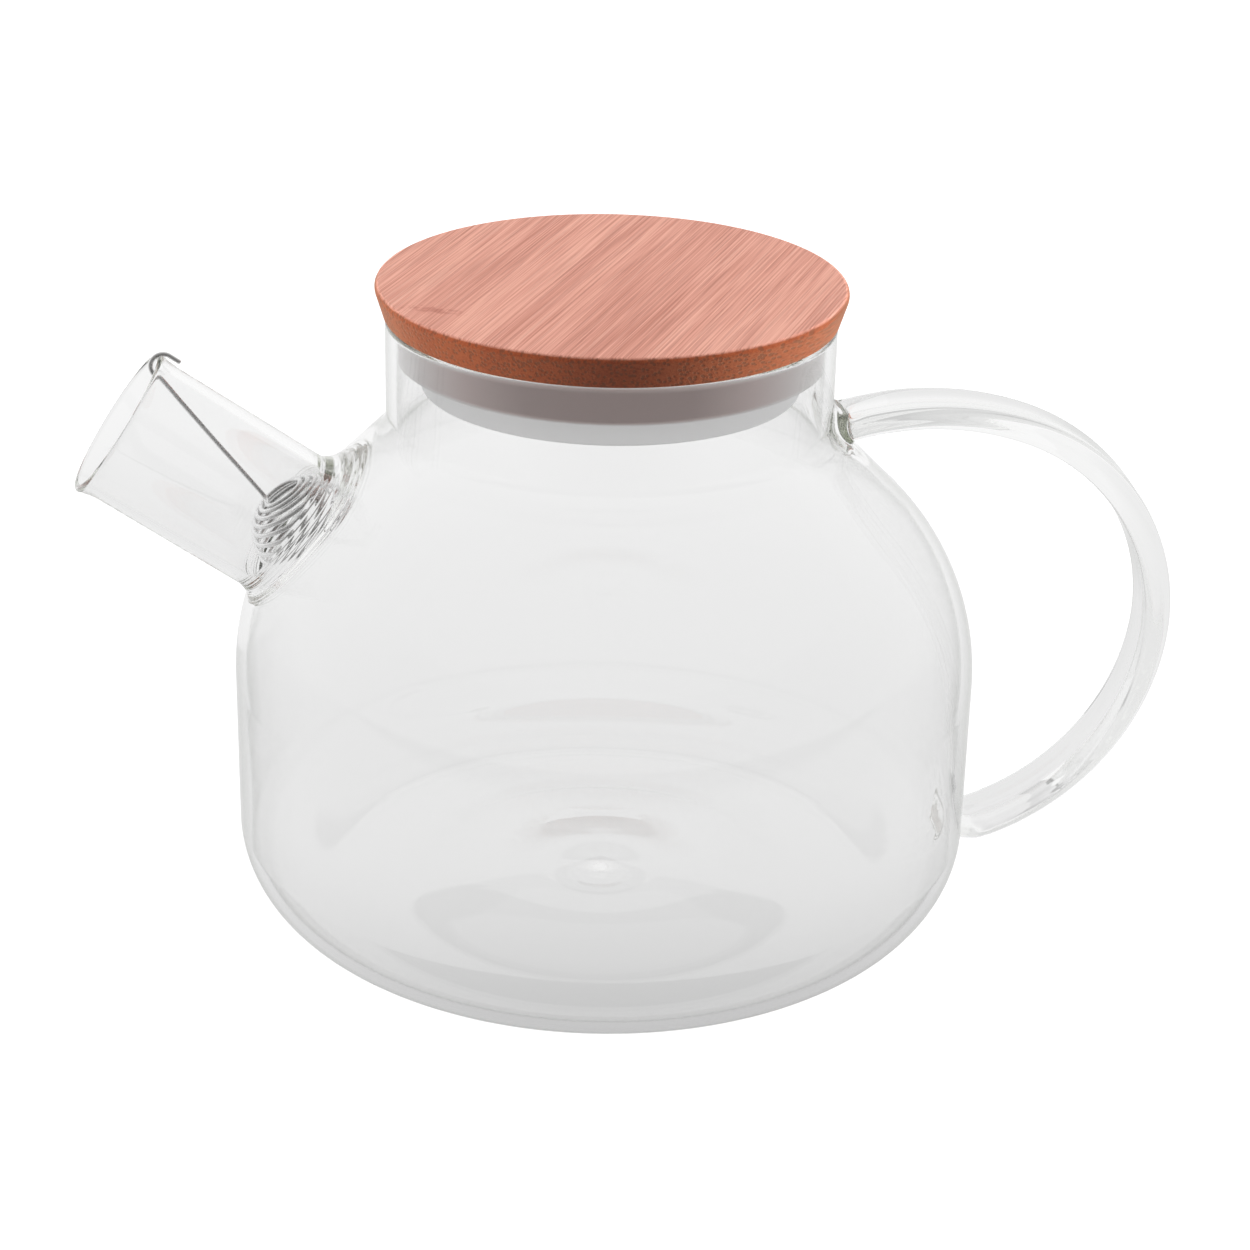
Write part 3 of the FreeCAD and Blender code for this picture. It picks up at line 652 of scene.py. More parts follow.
@dataclass
class Pot:
    """The blown pot, turned about the upright axis."""

    body_radius: float = 70.0
    heel_radius: float = 18.0
    foot_inner_radius: float = 38.0
    base_rise: float = 3.0
    button_radius: float = 5.5
    button_rise: float = 1.0
    dip_radius: float = 10.0
    dip_width: float = 10.0
    dip_depth: float = 0.8
    shoulder_height: float = 48.0
    shoulder_radius: float = 46.0
    shoulder_angle: float = 45.0
    neck_radius: float = 41.2
    neck_fillet: float = 8.0
    rim_height: float = 117.5
    wall: float = 2.0
    corner_melt: float = 3.0
    melt_samples: int = 25
    base_samples: int = 2001
    base_step: float = 0.9
    fillet_step: float = 0.5
    inner_fillet_step: float = 0.6
    rim_step: float = 0.25
    step: float = 1.3
    columns: int = 360
    window_margin: int = 3
    patch_gap: float = 0.45
    profile: Profile = field(init=False)
    along: Array = field(init=False)
    rim_row: int = field(init=False)

    def __post_init__(self) -> None:
        """Work out the section."""
        self.profile = self.make_profile()
        self.along = self.profile.length_along()
        self.rim_row = int(np.argmax(self.profile.points[:, 1]))

    def centres(self) -> tuple[Pair, Pair, Pair]:
        """Centres of the heel, the shoulder and the fillet under the neck."""
        slope = math.radians(self.shoulder_angle)
        heel = (self.body_radius - self.heel_radius, self.heel_radius)
        shoulder = (self.body_radius - self.shoulder_radius, self.shoulder_height)
        cone = polar(shoulder, self.shoulder_radius, self.shoulder_angle)
        fillet_x = self.neck_radius + self.neck_fillet
        level = cone[0] - fillet_x + self.neck_fillet * math.cos(slope)
        lift = self.neck_fillet * math.sin(slope) + level * math.cos(slope) / math.sin(slope)
        return heel, shoulder, (fillet_x, cone[1] + lift)

    def base_height(self, reach: Array) -> Array:
        """Height of the base's underside, with its corner at the foot ring melted soft."""
        dome = (self.foot_inner_radius ** 2 + self.base_rise ** 2) / (2 * self.base_rise)
        soft = np.linspace(-self.corner_melt, self.corner_melt, self.melt_samples)
        heights = self.base_rise - dome + np.sqrt(dome ** 2 - (reach[:, None] + soft[None]) ** 2)
        return np.maximum(heights, 0.0).mean(axis=1)

    def base_run(self, inside: bool) -> tuple[Array, Array]:
        """Points and normals of the base, on its underside or on its inside."""
        edge = self.body_radius - self.heel_radius
        reach = np.linspace(0.0, edge, round(edge / self.base_step) + 1)
        fine = np.linspace(0.0, edge, self.base_samples)
        height = self.base_height(fine)
        if inside:
            height = height + self.wall + self.button_rise * np.exp(-(fine / self.button_radius) ** 2)
            height = height - self.dip_depth * np.exp(-((fine - self.dip_radius) / self.dip_width) ** 2)
        slope = np.interp(reach, fine, np.gradient(height, fine))
        points = np.stack([reach, np.interp(reach, fine, height)], axis=1)
        normals = unit(np.stack([slope, -np.ones_like(slope)], axis=1))
        if inside:
            return points[::-1], -normals[::-1]
        return points, normals

    def make_profile(self) -> Profile:
        """Half section: underside, outer face, rim, inner face and the inside of the base."""
        heel, shoulder, fillet = self.centres()
        slope, step, wall = self.shoulder_angle, self.step, self.wall
        profile = Profile()
        profile.add(*self.base_run(inside=False))
        profile.arc(heel, self.heel_radius, -90, 0, step)
        profile.line(profile_end(profile), (self.body_radius, shoulder[1]), step)
        profile.arc(shoulder, self.shoulder_radius, 0, slope, step)
        profile.line(profile_end(profile), polar(fillet, self.neck_fillet, 180 + slope), step)
        profile.arc(fillet, self.neck_fillet, 180 + slope, 180, self.fillet_step)
        rim = (self.neck_radius - wall / 2, self.rim_height - wall / 2)
        profile.line(profile_end(profile), (self.neck_radius, rim[1]), step)
        profile.arc(rim, wall / 2, 0, 180, self.rim_step)
        profile.line(profile_end(profile), (self.neck_radius - wall, fillet[1]), step)
        profile.arc(fillet, self.neck_fillet + wall, 180, 180 + slope, self.inner_fillet_step)
        profile.line(profile_end(profile), polar(shoulder, self.shoulder_radius - wall, slope), step)
        profile.arc(shoulder, self.shoulder_radius - wall, slope, 0, step)
        profile.line(profile_end(profile), (self.body_radius - wall, heel[1]), step)
        profile.arc(heel, self.heel_radius - wall, 0, -90, step)
        profile.add(*self.base_run(inside=True))
        return profile

    def side_radius(self, height: float, inset: float) -> float:
        """Radius of the side at a height.

        Args:
            height: height above the table.
            inset: nought for the outer face, the wall for the inner one.

        Returns:
            Distance of that face from the axis.
        """
        heel, shoulder, fillet = self.centres()
        slope = self.shoulder_angle
        cone_start = polar(shoulder, self.shoulder_radius - inset, slope)
        cone_end = polar(fillet, self.neck_fillet + inset, 180 + slope)
        if height < heel[1]:
            bend = self.heel_radius - inset
            return heel[0] + math.sqrt(max(0.0, bend ** 2 - (heel[1] - height) ** 2))
        if height < shoulder[1]:
            return self.body_radius - inset
        if height < cone_start[1]:
            bend = self.shoulder_radius - inset
            return shoulder[0] + math.sqrt(bend ** 2 - (height - shoulder[1]) ** 2)
        if height < cone_end[1]:
            share = (height - cone_start[1]) / (cone_end[1] - cone_start[1])
            return cone_start[0] + share * (cone_end[0] - cone_start[0])
        if height < fillet[1]:
            bend = self.neck_fillet + inset
            return fillet[0] - math.sqrt(bend ** 2 - (fillet[1] - height) ** 2)
        return self.neck_radius - inset

    def meet(self, start: Array, direction: Array, reach: float, inset: float) -> Array:
        """Point where a straight line from outside meets the side.

        Args:
            start: a point outside the face.
            direction: direction of the line, of length one.
            reach: length after which the line is inside.
            inset: nought for the outer face, the wall for the inner one.

        Returns:
            The point on the face.
        """
        low, high = 0.0, reach
        for _ in range(SEARCH_STEPS):
            middle = (low + high) / 2
            point = start + direction * middle
            if math.hypot(point[0], point[1]) > self.side_radius(point[2], inset):
                low = middle
            else:
                high = middle
        return start + direction * ((low + high) / 2)

    def chart(self, points: Array, inset: float) -> tuple[Array, Array]:
        """Angle round the axis, and length along the section, of points on the side."""
        heights = self.profile.points[:, 1]
        heel_rows = np.abs(self.profile.points[:, 0] - (self.body_radius - self.heel_radius)) < TINY
        ends = np.flatnonzero(heel_rows)
        rows = slice(ends[0], self.rim_row + 1) if inset == 0.0 else slice(ends[-1], self.rim_row - 1, -1)
        quarter = math.pi / 2
        angles = np.mod(np.arctan2(points[:, 1], points[:, 0]) + quarter, 4 * quarter) - quarter
        return angles, np.interp(points[:, 2], heights[rows], self.along[rows])

    def face_normals(self, angles: Array, along: Array) -> Array:
        """Normals of the skin at places of its chart."""
        level = np.interp(along, self.along, self.profile.normals[:, 0])
        upward = np.interp(along, self.along, self.profile.normals[:, 1])
        return unit(np.stack([level * np.cos(angles), level * np.sin(angles), upward], axis=1))

    def weld(self, skin: Skin, points: Array, inset: float) -> tuple[Weld, Array]:
        """Add a loop of points on the side, to be joined to other glass.

        Returns:
            The loop, and the side's normals there.
        """
        angles, along = self.chart(points, inset)
        normals = self.face_normals(angles, along)
        return Weld(skin.add(points, normals), angles, along), normals

    def build(self, skin: Skin, welds: list[Weld]) -> None:
        """Add the pot's faces, open inside each weld's loop."""
        numbers = turned_grid(skin, self.profile, self.columns)
        close_poles(skin, numbers)
        keep = np.ones((len(numbers) - 1, self.columns), bool)
        keep[0] = keep[-1] = False
        for weld in welds:
            rows, columns = self.window(weld)
            keep[rows[0]:rows[-1], columns[0]:columns[-1]] = False
            self.patch(skin, numbers, weld, rows, columns)
        skin.quads(numbers, keep)

    def window(self, weld: Weld) -> tuple[Array, Array]:
        """Rows and columns of the grid around a weld, with a margin of faces."""
        margin = self.window_margin
        low = np.searchsorted(self.along, weld.along.min()) - margin
        high = np.searchsorted(self.along, weld.along.max()) + margin
        pitch = 2 * math.pi / self.columns
        left = math.floor((weld.angles.min() + math.pi / 2) / pitch) - margin
        right = math.ceil((weld.angles.max() + math.pi / 2) / pitch) + margin
        return np.arange(low, high + 1), np.arange(left, right + 1)

    def patch(self, skin: Skin, numbers: Array, weld: Weld, rows: Array, columns: Array) -> None:
        """Fill the window around a weld with triangles up to its loop."""
        angles = column_angles(self.columns)
        middle = np.interp(weld.along.mean(), self.along, self.profile.points[:, 0])
        loop = np.stack([weld.angles * middle, weld.along], axis=1)
        ring = [(rows[0], c) for c in columns[:-1]] + [(r, columns[-1]) for r in rows[:-1]]
        ring += [(rows[-1], c) for c in columns[:0:-1]] + [(r, columns[0]) for r in rows[:0:-1]]
        inner = [(r, c) for r in rows[1:-1] for c in columns[1:-1]]
        ring_flat = np.array([(angles[c] * middle, self.along[r]) for r, c in ring])
        inner_flat = np.array([(angles[c] * middle, self.along[r]) for r, c in inner])
        gaps = np.linalg.norm(inner_flat[:, None] - loop[None], axis=2).min(axis=1)
        free = (gaps > self.patch_gap * self.step) & ~inside_loop(inner_flat, loop)
        flat = np.vstack([ring_flat, inner_flat[free], loop])
        ids = [int(numbers[r, c]) for r, c in ring]
        ids += [int(numbers[inner[i]]) for i in np.flatnonzero(free)]
        ids += weld.numbers.tolist()
        edges = loop_edges(0, len(ring)) + loop_edges(len(flat) - len(loop), len(loop))
        result = delaunay_2d_cdt([Vector(p) for p in flat.tolist()], edges, [], 0, TINY / 10)
        origin = [ids[source[0]] for source in result[3]]
        places = np.array([tuple(p) for p in result[0]])
        faces = np.array(result[2])
        outside = ~inside_loop(places[faces].mean(axis=1), loop)
        for face in faces[outside].tolist():
            skin.faces.append(tuple(origin[i] for i in face))


def profile_end(profile: Profile) -> Pair:
    """Last point of a section."""
    return tuple(profile.points[-1])


def loop_edges(start: int, count: int) -> list[tuple[int, int]]:
    """Edges of a closed loop of consecutive points."""
    return [(start + i, start + (i + 1) % count) for i in range(count)]


def inside_loop(points: Array, loop: Array) -> Array:
    """Whether points of a plane lie inside a closed loop."""
    x, y = points[:, 0, None], points[:, 1, None]
    first, second = loop[None], np.roll(loop, -1, axis=0)[None]
    spans = (first[..., 1] > y) != (second[..., 1] > y)
    rise = np.where(spans, second[..., 1] - first[..., 1], 1.0)
    cross = first[..., 0] + (y - first[..., 1]) / rise * (second[..., 0] - first[..., 0])
    return (np.count_nonzero(spans & (x < cross), axis=1) % 2) == 1


def bezier(first: Array, second: Array, third: Array, fourth: Array, shares: Array) -> Array:
    """Rows of points on cubic curves, one curve for each column."""
    t = shares[:, None, None]
    return ((1 - t) ** 3 * first + 3 * t * (1 - t) ** 2 * second
            + 3 * t ** 2 * (1 - t) * third + t ** 3 * fourth)


@dataclass
class Spout:
    """Straight glass tube with a flared lip, melted into the pot by its collar."""

    angle: float = 34.4
    height: float = 77.1
    collar_length: float = 1.6
    length: float = 35.2
    radius: float = 14.0
    wall: float = 2.0
    lip_length: float = 5.0
    lip_flare: float = 0.6
    beak_flare: float = 0.18
    beak_width: float = 32.0
    collar_flare: float = 5.5
    collar_lean: float = 3.0
    collar_top: float = 0.5
    inner_flare: float = 2.2
    weld_rings: int = 8
    ring_depth: float = 0.045
    side_depth: float = 0.045
    lip_wall: float = 1.4
    collar_pull: Pair = (0.4, 0.3)
    mouth_pull: float = 0.6
    ring_rows: int = 10
    tube_rows: int = 19
    lip_rows: int = 8
    edge_rows: int = 12
    bore_rows: int = 15
    mouth_rows: int = 10
    columns: int = 144

    def place(self, pot: Pot) -> tuple[Array, Array]:
        """Root of the tube, and its frame: upper side, sideways and outward."""
        slope = math.radians(self.angle)
        outward = np.array([-math.cos(slope), 0.0, math.sin(slope)])
        upper = np.array([math.sin(slope), 0.0, math.cos(slope)])
        meeting = np.array([-pot.side_radius(self.height, 0.0), 0.0, self.height])
        return meeting + outward * self.collar_length, np.stack([upper, [0.0, 1.0, 0.0], outward])

    def footing(self, pot: Pot, rays: Array, reach: Array, inset: float) -> Array:
        """Points of the pot's face at distances from the spout's axis, one for each column."""
        root, axes = self.place(pot)
        starts = root + rays * reach[:, None] + axes[2] * self.radius
        return np.array([pot.meet(start, -axes[2], 3 * self.radius, inset) for start in starts])

    def ring(self, pot: Pot, rays: Array, reach: float | Array, along: float | Array) -> Array:
        """Points at distances from the axis and from the root, one for each column."""
        root, axes = self.place(pot)
        reach, along = (np.broadcast_to(value, self.columns) for value in (reach, along))
        return root + rays * reach[:, None] + axes[2] * along[:, None]

    def collar(self, pot: Pot, turns: Array, rays: Array, foot: Array, face: Array) -> list[Array]:
        """Rows from the pot's outer face to the tube, with the rings that the flame leaves there.

        Args:
            pot: the pot.
            turns: angle of each column round the spout's axis.
            rays: direction of each column from that axis.
            foot: loop on the pot.
            face: the pot's normals on the loop.

        Returns:
            The rows after the loop.
        """
        outward = self.place(pot)[1][2]
        start = self.ring(pot, rays, self.radius, self.collar_top)
        inward = unit(-rays + np.sum(rays * face, axis=1)[:, None] * face)
        shares = np.linspace(0.0, 1.0, self.ring_rows * self.weld_rings + 1)
        span = np.linalg.norm(start - foot, axis=1)[:, None]
        low, high = self.collar_pull
        rows = bezier(foot, foot + inward * (low * span), start - outward * (high * span), start, shares)
        waves = np.sin(2 * math.pi * self.weld_rings * shares) * np.sin(math.pi * shares)
        depth = self.ring_depth + self.side_depth * np.sin(turns) ** 2
        rows += waves[:, None, None] * depth[None, :, None] * grid_normals(rows)
        return list(rows[1:])

    def tube(self, pot: Pot, turns: Array, rays: Array) -> list[Array]:
        """Rows along the tube, over its flared lip and back to where the bore is straight."""
        beak = np.exp(-((np.degrees(turns) - 180.0) / self.beak_width) ** 2)
        flare = self.lip_flare + self.beak_flare * beak
        half = self.lip_wall / 2
        lip_start, lip_end = self.length - self.lip_length, self.length - half
        rows = [self.ring(pot, rays, self.radius, along)
                for along in np.linspace(self.collar_top, lip_start, self.tube_rows + 1)[1:]]
        shares = np.linspace(0.0, 1.0, self.lip_rows + 1)
        for share in shares[1:]:
            along = lip_start + share * (lip_end - lip_start)
            rows.append(self.ring(pot, rays, self.radius + flare * share ** 2, along))
        for turn in np.linspace(0, math.pi, self.edge_rows + 1)[1:-1]:
            reach = self.radius + flare - half * (1 - math.cos(turn))
            rows.append(self.ring(pot, rays, reach, lip_end + half * math.sin(turn)))
        for share in shares[::-1]:
            along = lip_start + share * (lip_end - lip_start)
            rows.append(self.ring(pot, rays, self.bore_radius(along) + flare * share ** 2, along))
        return rows

    def bore_radius(self, along: float) -> float:
        """Radius of the bore at a distance from the root, wider towards the thin lip."""
        lip_end = self.length - self.lip_wall / 2
        return self.radius - self.wall + (self.wall - self.lip_wall) * along / lip_end

    def bore(self, pot: Pot, rays: Array, foot: Array, face: Array) -> list[Array]:
        """Rows down the bore and out to the pot's inner face.

        Args:
            pot: the pot.
            rays: direction of each column from the spout's axis.
            foot: loop on the pot's inner face.
            face: the pot's normals on the loop.

        Returns:
            The rows before the loop.
        """
        root, axes = self.place(pot)
        radius, lip_start = self.radius - self.wall, self.length - self.lip_length
        edge = self.footing(pot, rays, np.full(self.columns, radius), pot.wall)
        edge_along = (edge - root) @ axes[2] + self.inner_flare
        rows = []
        for share in np.linspace(0.0, 1.0, self.bore_rows + 1)[1:]:
            reach = radius + (self.bore_radius(lip_start) - radius) * (1 - share)
            rows.append(self.ring(pot, rays, reach, lip_start + share * (edge_along - lip_start)))
        outwards = unit(rays - np.sum(rays * face, axis=1)[:, None] * face)
        pull = self.mouth_pull * self.inner_flare
        shares = np.linspace(0.0, 1.0, self.mouth_rows + 1)[1:-1]
        return rows + list(bezier(rows[-1], rows[-1] - axes[2] * pull, foot - outwards * pull, foot, shares))

    def build(self, skin: Skin, pot: Pot) -> list[Weld]:
        """Add the spout's faces, from the pot's outer face over the lip to its inner face.

        Args:
            skin: the skin of all the glass.
            pot: the pot that the spout is melted into.

        Returns:
            The two loops that it shares with the pot.
        """
        axes = self.place(pot)[1]
        turns = 2 * math.pi * np.arange(self.columns) / self.columns
        rays = np.cos(turns)[:, None] * axes[0] + np.sin(turns)[:, None] * axes[1]
        spread = self.collar_flare + self.collar_lean * np.cos(turns)
        foot = self.footing(pot, rays, self.radius + spread, 0.0)
        mouth = np.full(self.columns, self.radius - self.wall + self.inner_flare)
        inner_foot = self.footing(pot, rays, mouth, pot.wall)
        outer_weld, face = pot.weld(skin, foot, 0.0)
        inner_weld, inner_face = pot.weld(skin, inner_foot, pot.wall)
        rows = self.collar(pot, turns, rays, foot, face) + self.tube(pot, turns, rays)
        rows += self.bore(pot, rays, inner_foot, inner_face)
        points = np.stack([foot, *rows, inner_foot])
        body = skin.add(points[1:-1], grid_normals(points)[1:-1])
        skin.quads(np.vstack([outer_weld.numbers[None], body, inner_weld.numbers[None]]))
        return [outer_weld, inner_weld]


@dataclass
class Handle:
    """Flat glass strap bent to a loop, its ends melted into the pot."""

    width: float = 12.0
    thickness: float = 5.4
    corner: float = 2.4
    reach: float = 106.0
    top_height: float = 96.4
    foot_height: float = 12.3
    upper_pad: float = 3.9
    lower_pad: float = 5.7
    upper_flare: float = 3.6
    lower_flare: float = 2.0
    pinch: float = 0.12
    angles: tuple[float, float, float, float] = (14.8, -19.7, -99.4, -160.0)
    pad_pull: Pair = (0.55, 0.6)
    waist_share: float = 0.78
    waist_width: float = 0.1
    waist_end: float = 0.08
    stand_off: float = 15.0
    search_reach: float = 40.0
    pad_rows: int = 16
    section_step: float = 0.6
    step: float = 1.4

    def section(self) -> tuple[Array, Array]:
        """Points and normals of the strap's section, across its width and its thickness."""
        outline = Profile(closed=True)
        x, y, corner = self.width / 2, self.thickness / 2, self.corner
        outline.corners([(x, -y, corner), (x, y, corner), (-x, y, corner), (-x, -y, corner)],
                        self.section_step)
        return outline.points, outline.normals

    def ends(self, pot: Pot) -> tuple[Array, Array]:
        """Upper and lower end of the strap's middle line, in the handle's plane."""
        upper = (pot.side_radius(self.top_height, 0.0) + self.upper_pad, self.top_height)
        lower = (pot.side_radius(self.foot_height, 0.0) + self.lower_pad, self.foot_height)
        return np.array(upper), np.array(lower)

    def bends(self, pot: Pot) -> Array:
        """Radii of the three bends that join both ends and keep the handle's reach."""
        upper, lower = self.ends(pot)
        a = np.radians(self.angles)
        across, up = np.sin(a[:-1]) - np.sin(a[1:]), np.cos(a[1:]) - np.cos(a[:-1])
        rows = np.array([[across[0], math.sin(a[1]) + 1.0, 0.0], across, up])
        return np.linalg.solve(rows, [self.reach - upper[0], *(lower - upper)])

    def middle_line(self, pot: Pot) -> tuple[Array, Array]:
        """Points of the strap's middle line, and its slope at each of them."""
        at = self.ends(pot)[0]
        points, slopes = [at], [math.radians(self.angles[0])]
        turns = np.radians(self.angles)
        for radius, start, end in zip(self.bends(pot), turns, turns[1:]):
            centre = at + radius * np.array([math.sin(start), -math.cos(start)])
            count = round(radius * (start - end) / self.step)
            for slope in np.linspace(start, end, count + 1)[1:]:
                points.append(centre + radius * np.array([-math.sin(slope), math.cos(slope)]))
                slopes.append(slope)
            at = points[-1]
        return np.array(points), np.array(slopes)

    def rows(self, centres: Array, slopes: Array, section: Array) -> Array:
        """Sections carried along the middle line."""
        ahead = np.stack([-np.sin(slopes), np.zeros_like(slopes), np.cos(slopes)], axis=1)
        middle = np.stack([centres[:, 0], np.zeros_like(slopes), centres[:, 1]], axis=1)
        sideways = section[:, 0, None] * np.array([0.0, 1.0, 0.0])
        return middle[:, None] + sideways[None] + section[None, :, 1, None] * ahead[:, None]

    def pad(self, pot: Pot, skin: Skin, end: Array, slope: float, heading: float,
            flare: float) -> tuple[Weld, Array]:
        """Gather of glass between one end of the strap and the pot.

        Args:
            pot: the pot.
            skin: the skin of all the glass.
            end: end of the strap's middle line.
            slope: the strap's slope there, in radians.
            heading: one where the pot lies ahead along the strap, minus one where it lies behind.
            flare: how far the gather widens on the pot.

        Returns:
            The loop on the pot, and rows of points from it to the strap.
        """
        section, normals = self.section()
        ahead = heading * np.array([math.cos(slope), 0.0, math.sin(slope)])
        edge = self.rows(end[None], np.array([slope]), section)[0]
        wide = self.rows(end[None], np.array([slope]), section + flare * normals)[0]
        level = np.array([-1.0, 0.0, 0.0])
        foot = np.array([pot.meet(point - self.stand_off * level, level, self.search_reach, 0.0)
                         for point in wide])
        weld, face = pot.weld(skin, foot, 0.0)
        spread = (wide - edge) / flare
        outward = unit(spread - np.sum(spread * face, axis=1)[:, None] * face)
        span = np.linalg.norm(foot - edge, axis=1)[:, None]
        shares = np.linspace(0.0, 1.0, self.pad_rows + 1)
        low, high = self.pad_pull
        rows = bezier(foot, foot - outward * (low * span), edge + ahead * (high * span), edge, shares)
        waist = np.exp(-((shares - self.waist_share) / self.waist_width) ** 2)
        waist *= smooth_step((1.0 - shares) / self.waist_end)
        rows = rows - self.pinch * waist[:, None, None] * spread[None]
        return weld, rows

    def build(self, skin: Skin, pot: Pot) -> list[Weld]:
        """Add the handle's faces, from the neck along the strap to the heel.

        Returns:
            The two loops that it shares with the pot.
        """
        centres, slopes = self.middle_line(pot)
        section, _ = self.section()
        strap = self.rows(centres, slopes, section)
        upper_weld, upper = self.pad(pot, skin, centres[0], slopes[0], -1.0, self.upper_flare)
        lower_weld, lower = self.pad(pot, skin, centres[-1], slopes[-1], 1.0, self.lower_flare)
        points = np.concatenate([upper[:-1], strap, lower[-2::-1]])
        body = skin.add(points[1:-1], grid_normals(points)[1:-1])
        skin.quads(np.vstack([upper_weld.numbers[None], body, lower_weld.numbers[None]]))
        return [upper_weld, lower_weld]


@dataclass
class Glass:
    """All the glass of the teapot, melted into one skin."""

    pot: Pot
    spout: Spout
    handle: Handle
    wave: float = 0.004
    slow_waves: tuple[tuple[Triple, float], ...] = (
        ((0.11, 0.05, 0.16), 0.4), ((-0.07, 0.13, 0.09), 1.9), ((0.05, -0.09, 0.21), 4.4))
    wave_fade: float = 4.0
    ripple: float = 0.04
    ripple_places: tuple[tuple[Triple, float], ...] = (((38.0, 0.0, 95.0), 7.5), ((66.0, 0.0, 12.0), 9.0))
    ripple_waves: tuple[tuple[Triple, float], ...] = (((0.3, 1.5, 0.7), 0.6), ((0.9, -1.1, 1.1), 2.2))
    nudge: float = 0.01

    def lift(self, points: Array) -> Array:
        """How far the blown glass departs from its true form, in millimetres."""
        total = np.zeros(len(points))
        beyond = np.hypot(points[:, 0], points[:, 1]) - self.pot.body_radius
        on_pot = smooth_step(1.0 - beyond / self.wave_fade)
        for direction, phase in self.slow_waves:
            total += self.wave * on_pot * np.sin(points @ np.array(direction) + phase)
        # Ripples where the handle was pressed on
        for centre, size in self.ripple_places:
            away = np.linalg.norm(points - np.array(centre), axis=1) / size
            for direction, phase in self.ripple_waves:
                total += self.ripple * np.exp(-away ** 2) * np.sin(points @ np.array(direction) + phase)
        return total

    def blown(self, points: Array, normals: Array) -> tuple[Array, Array]:
        """Points and normals with the waves of blown glass."""
        slopes = [(self.lift(points + shift) - self.lift(points - shift)) / (2 * self.nudge)
                  for shift in self.nudge * np.eye(3)]
        gradient = np.stack(slopes, axis=1)
        gradient -= np.sum(gradient * normals, axis=1)[:, None] * normals
        return points + self.lift(points)[:, None] * normals, unit(normals - gradient)

    def build(self, finish: bpy.types.Material) -> None:
        """Make the glass and put it on the pot's body."""
        skin = Skin()
        welds = self.spout.build(skin, self.pot) + self.handle.build(skin, self.pot)
        self.pot.build(skin, welds)
        points, normals = skin.gathered()
        mesh = skin.mesh("teapot_glass", *self.blown(points, normals))
        piece = show("teapot_glass", mesh, finish, Body.POT,
                     ("glass_body", "spout_tube", "spout_collar", "handle_strap", "handle_upper_pad",
                      "handle_lower_pad"))
        # Clear glass lets the lamps' light through to the seal, the wire and the floor
        piece.visible_shadow = False


@dataclass
class Lid:
    """Turned bamboo board with its plug and silicone seal."""

    radius: float = 43.3
    taper: float = 1.8
    thickness: float = 5.8
    edge_round: float = 0.9
    underside: float = 117.8
    plug_radius: float = 33.0
    plug_depth: float = 11.8
    band_radius: float = 38.9
    band_depth: float = 7.8
    bore_gap: float = 0.1
    sleeve_wall: float = 1.7
    sleeve_depth: float = 12.8
    board_round: float = 0.4
    plug_rounds: Pair = (0.5, 0.2)
    bore_rounds: Pair = (0.2, 0.3)
    sleeve_rounds: Pair = (0.5, 0.4)
    band_round: float = 1.2
    wood_step: float = 1.5
    seal_step: float = 0.8
    columns: int = 256

    def build(self, board: bpy.types.Material, seal: bpy.types.Material) -> bpy.types.Object:
        """Make the board, the plug and the seal on the lid's body.

        Returns:
            The seal.
        """
        self.turn("lid_board_bamboo", self.board_profile(), board, Slot.BAMBOO, "lid_board")
        self.turn("lid_plug_bamboo", self.plug_profile(), board, Slot.BAMBOO, "lid_plug")
        return self.turn("lid_seal_silicone", self.seal_profile(), seal, Slot.SILICONE, "lid_seal")

    def turn(self, name: str, profile: Profile, finish: bpy.types.Material, slot: Slot,
             node: str) -> bpy.types.Object:
        """Turn one section and put it on the lid's body."""
        skin = turned(profile, self.columns)
        return show(name, skin.mesh(name, *skin.gathered()), finish, Body.LID, (node,))

    def board_profile(self) -> Profile:
        """Section of the board: tapered edge, rounded upper corner."""
        profile = Profile()
        top = self.underside + self.thickness
        foot = self.radius - self.taper
        profile.corners([(0.0, self.underside, 0.0), (foot, self.underside, self.board_round),
                         (self.radius, top, self.edge_round), (0.0, top, 0.0)], self.wood_step)
        return profile

    def plug_profile(self) -> Profile:
        """Section of the plug under the board."""
        profile = Profile()
        bottom = self.underside - self.plug_depth
        low, high = self.plug_rounds
        profile.corners([(0.0, bottom, 0.0), (self.plug_radius, bottom, low),
                         (self.plug_radius, self.underside, high), (0.0, self.underside, 0.0)],
                        self.wood_step)
        return profile

    def seal_profile(self) -> Profile:
        """Section of the seal: a thick band, and a thinner sleeve below it."""
        profile = Profile(closed=True)
        bore = self.plug_radius + self.bore_gap
        sleeve = bore + self.sleeve_wall
        top, band_end = self.underside, self.underside - self.band_depth
        bottom = self.underside - self.sleeve_depth
        profile.corners([(bore, top, self.bore_rounds[0]), (bore, bottom, self.bore_rounds[1]),
                         (sleeve, bottom, self.sleeve_rounds[0]), (sleeve, band_end, self.sleeve_rounds[1]),
                         (self.band_radius, band_end, self.band_round),
                         (self.band_radius, top, self.band_round)], self.seal_step)
        return profile


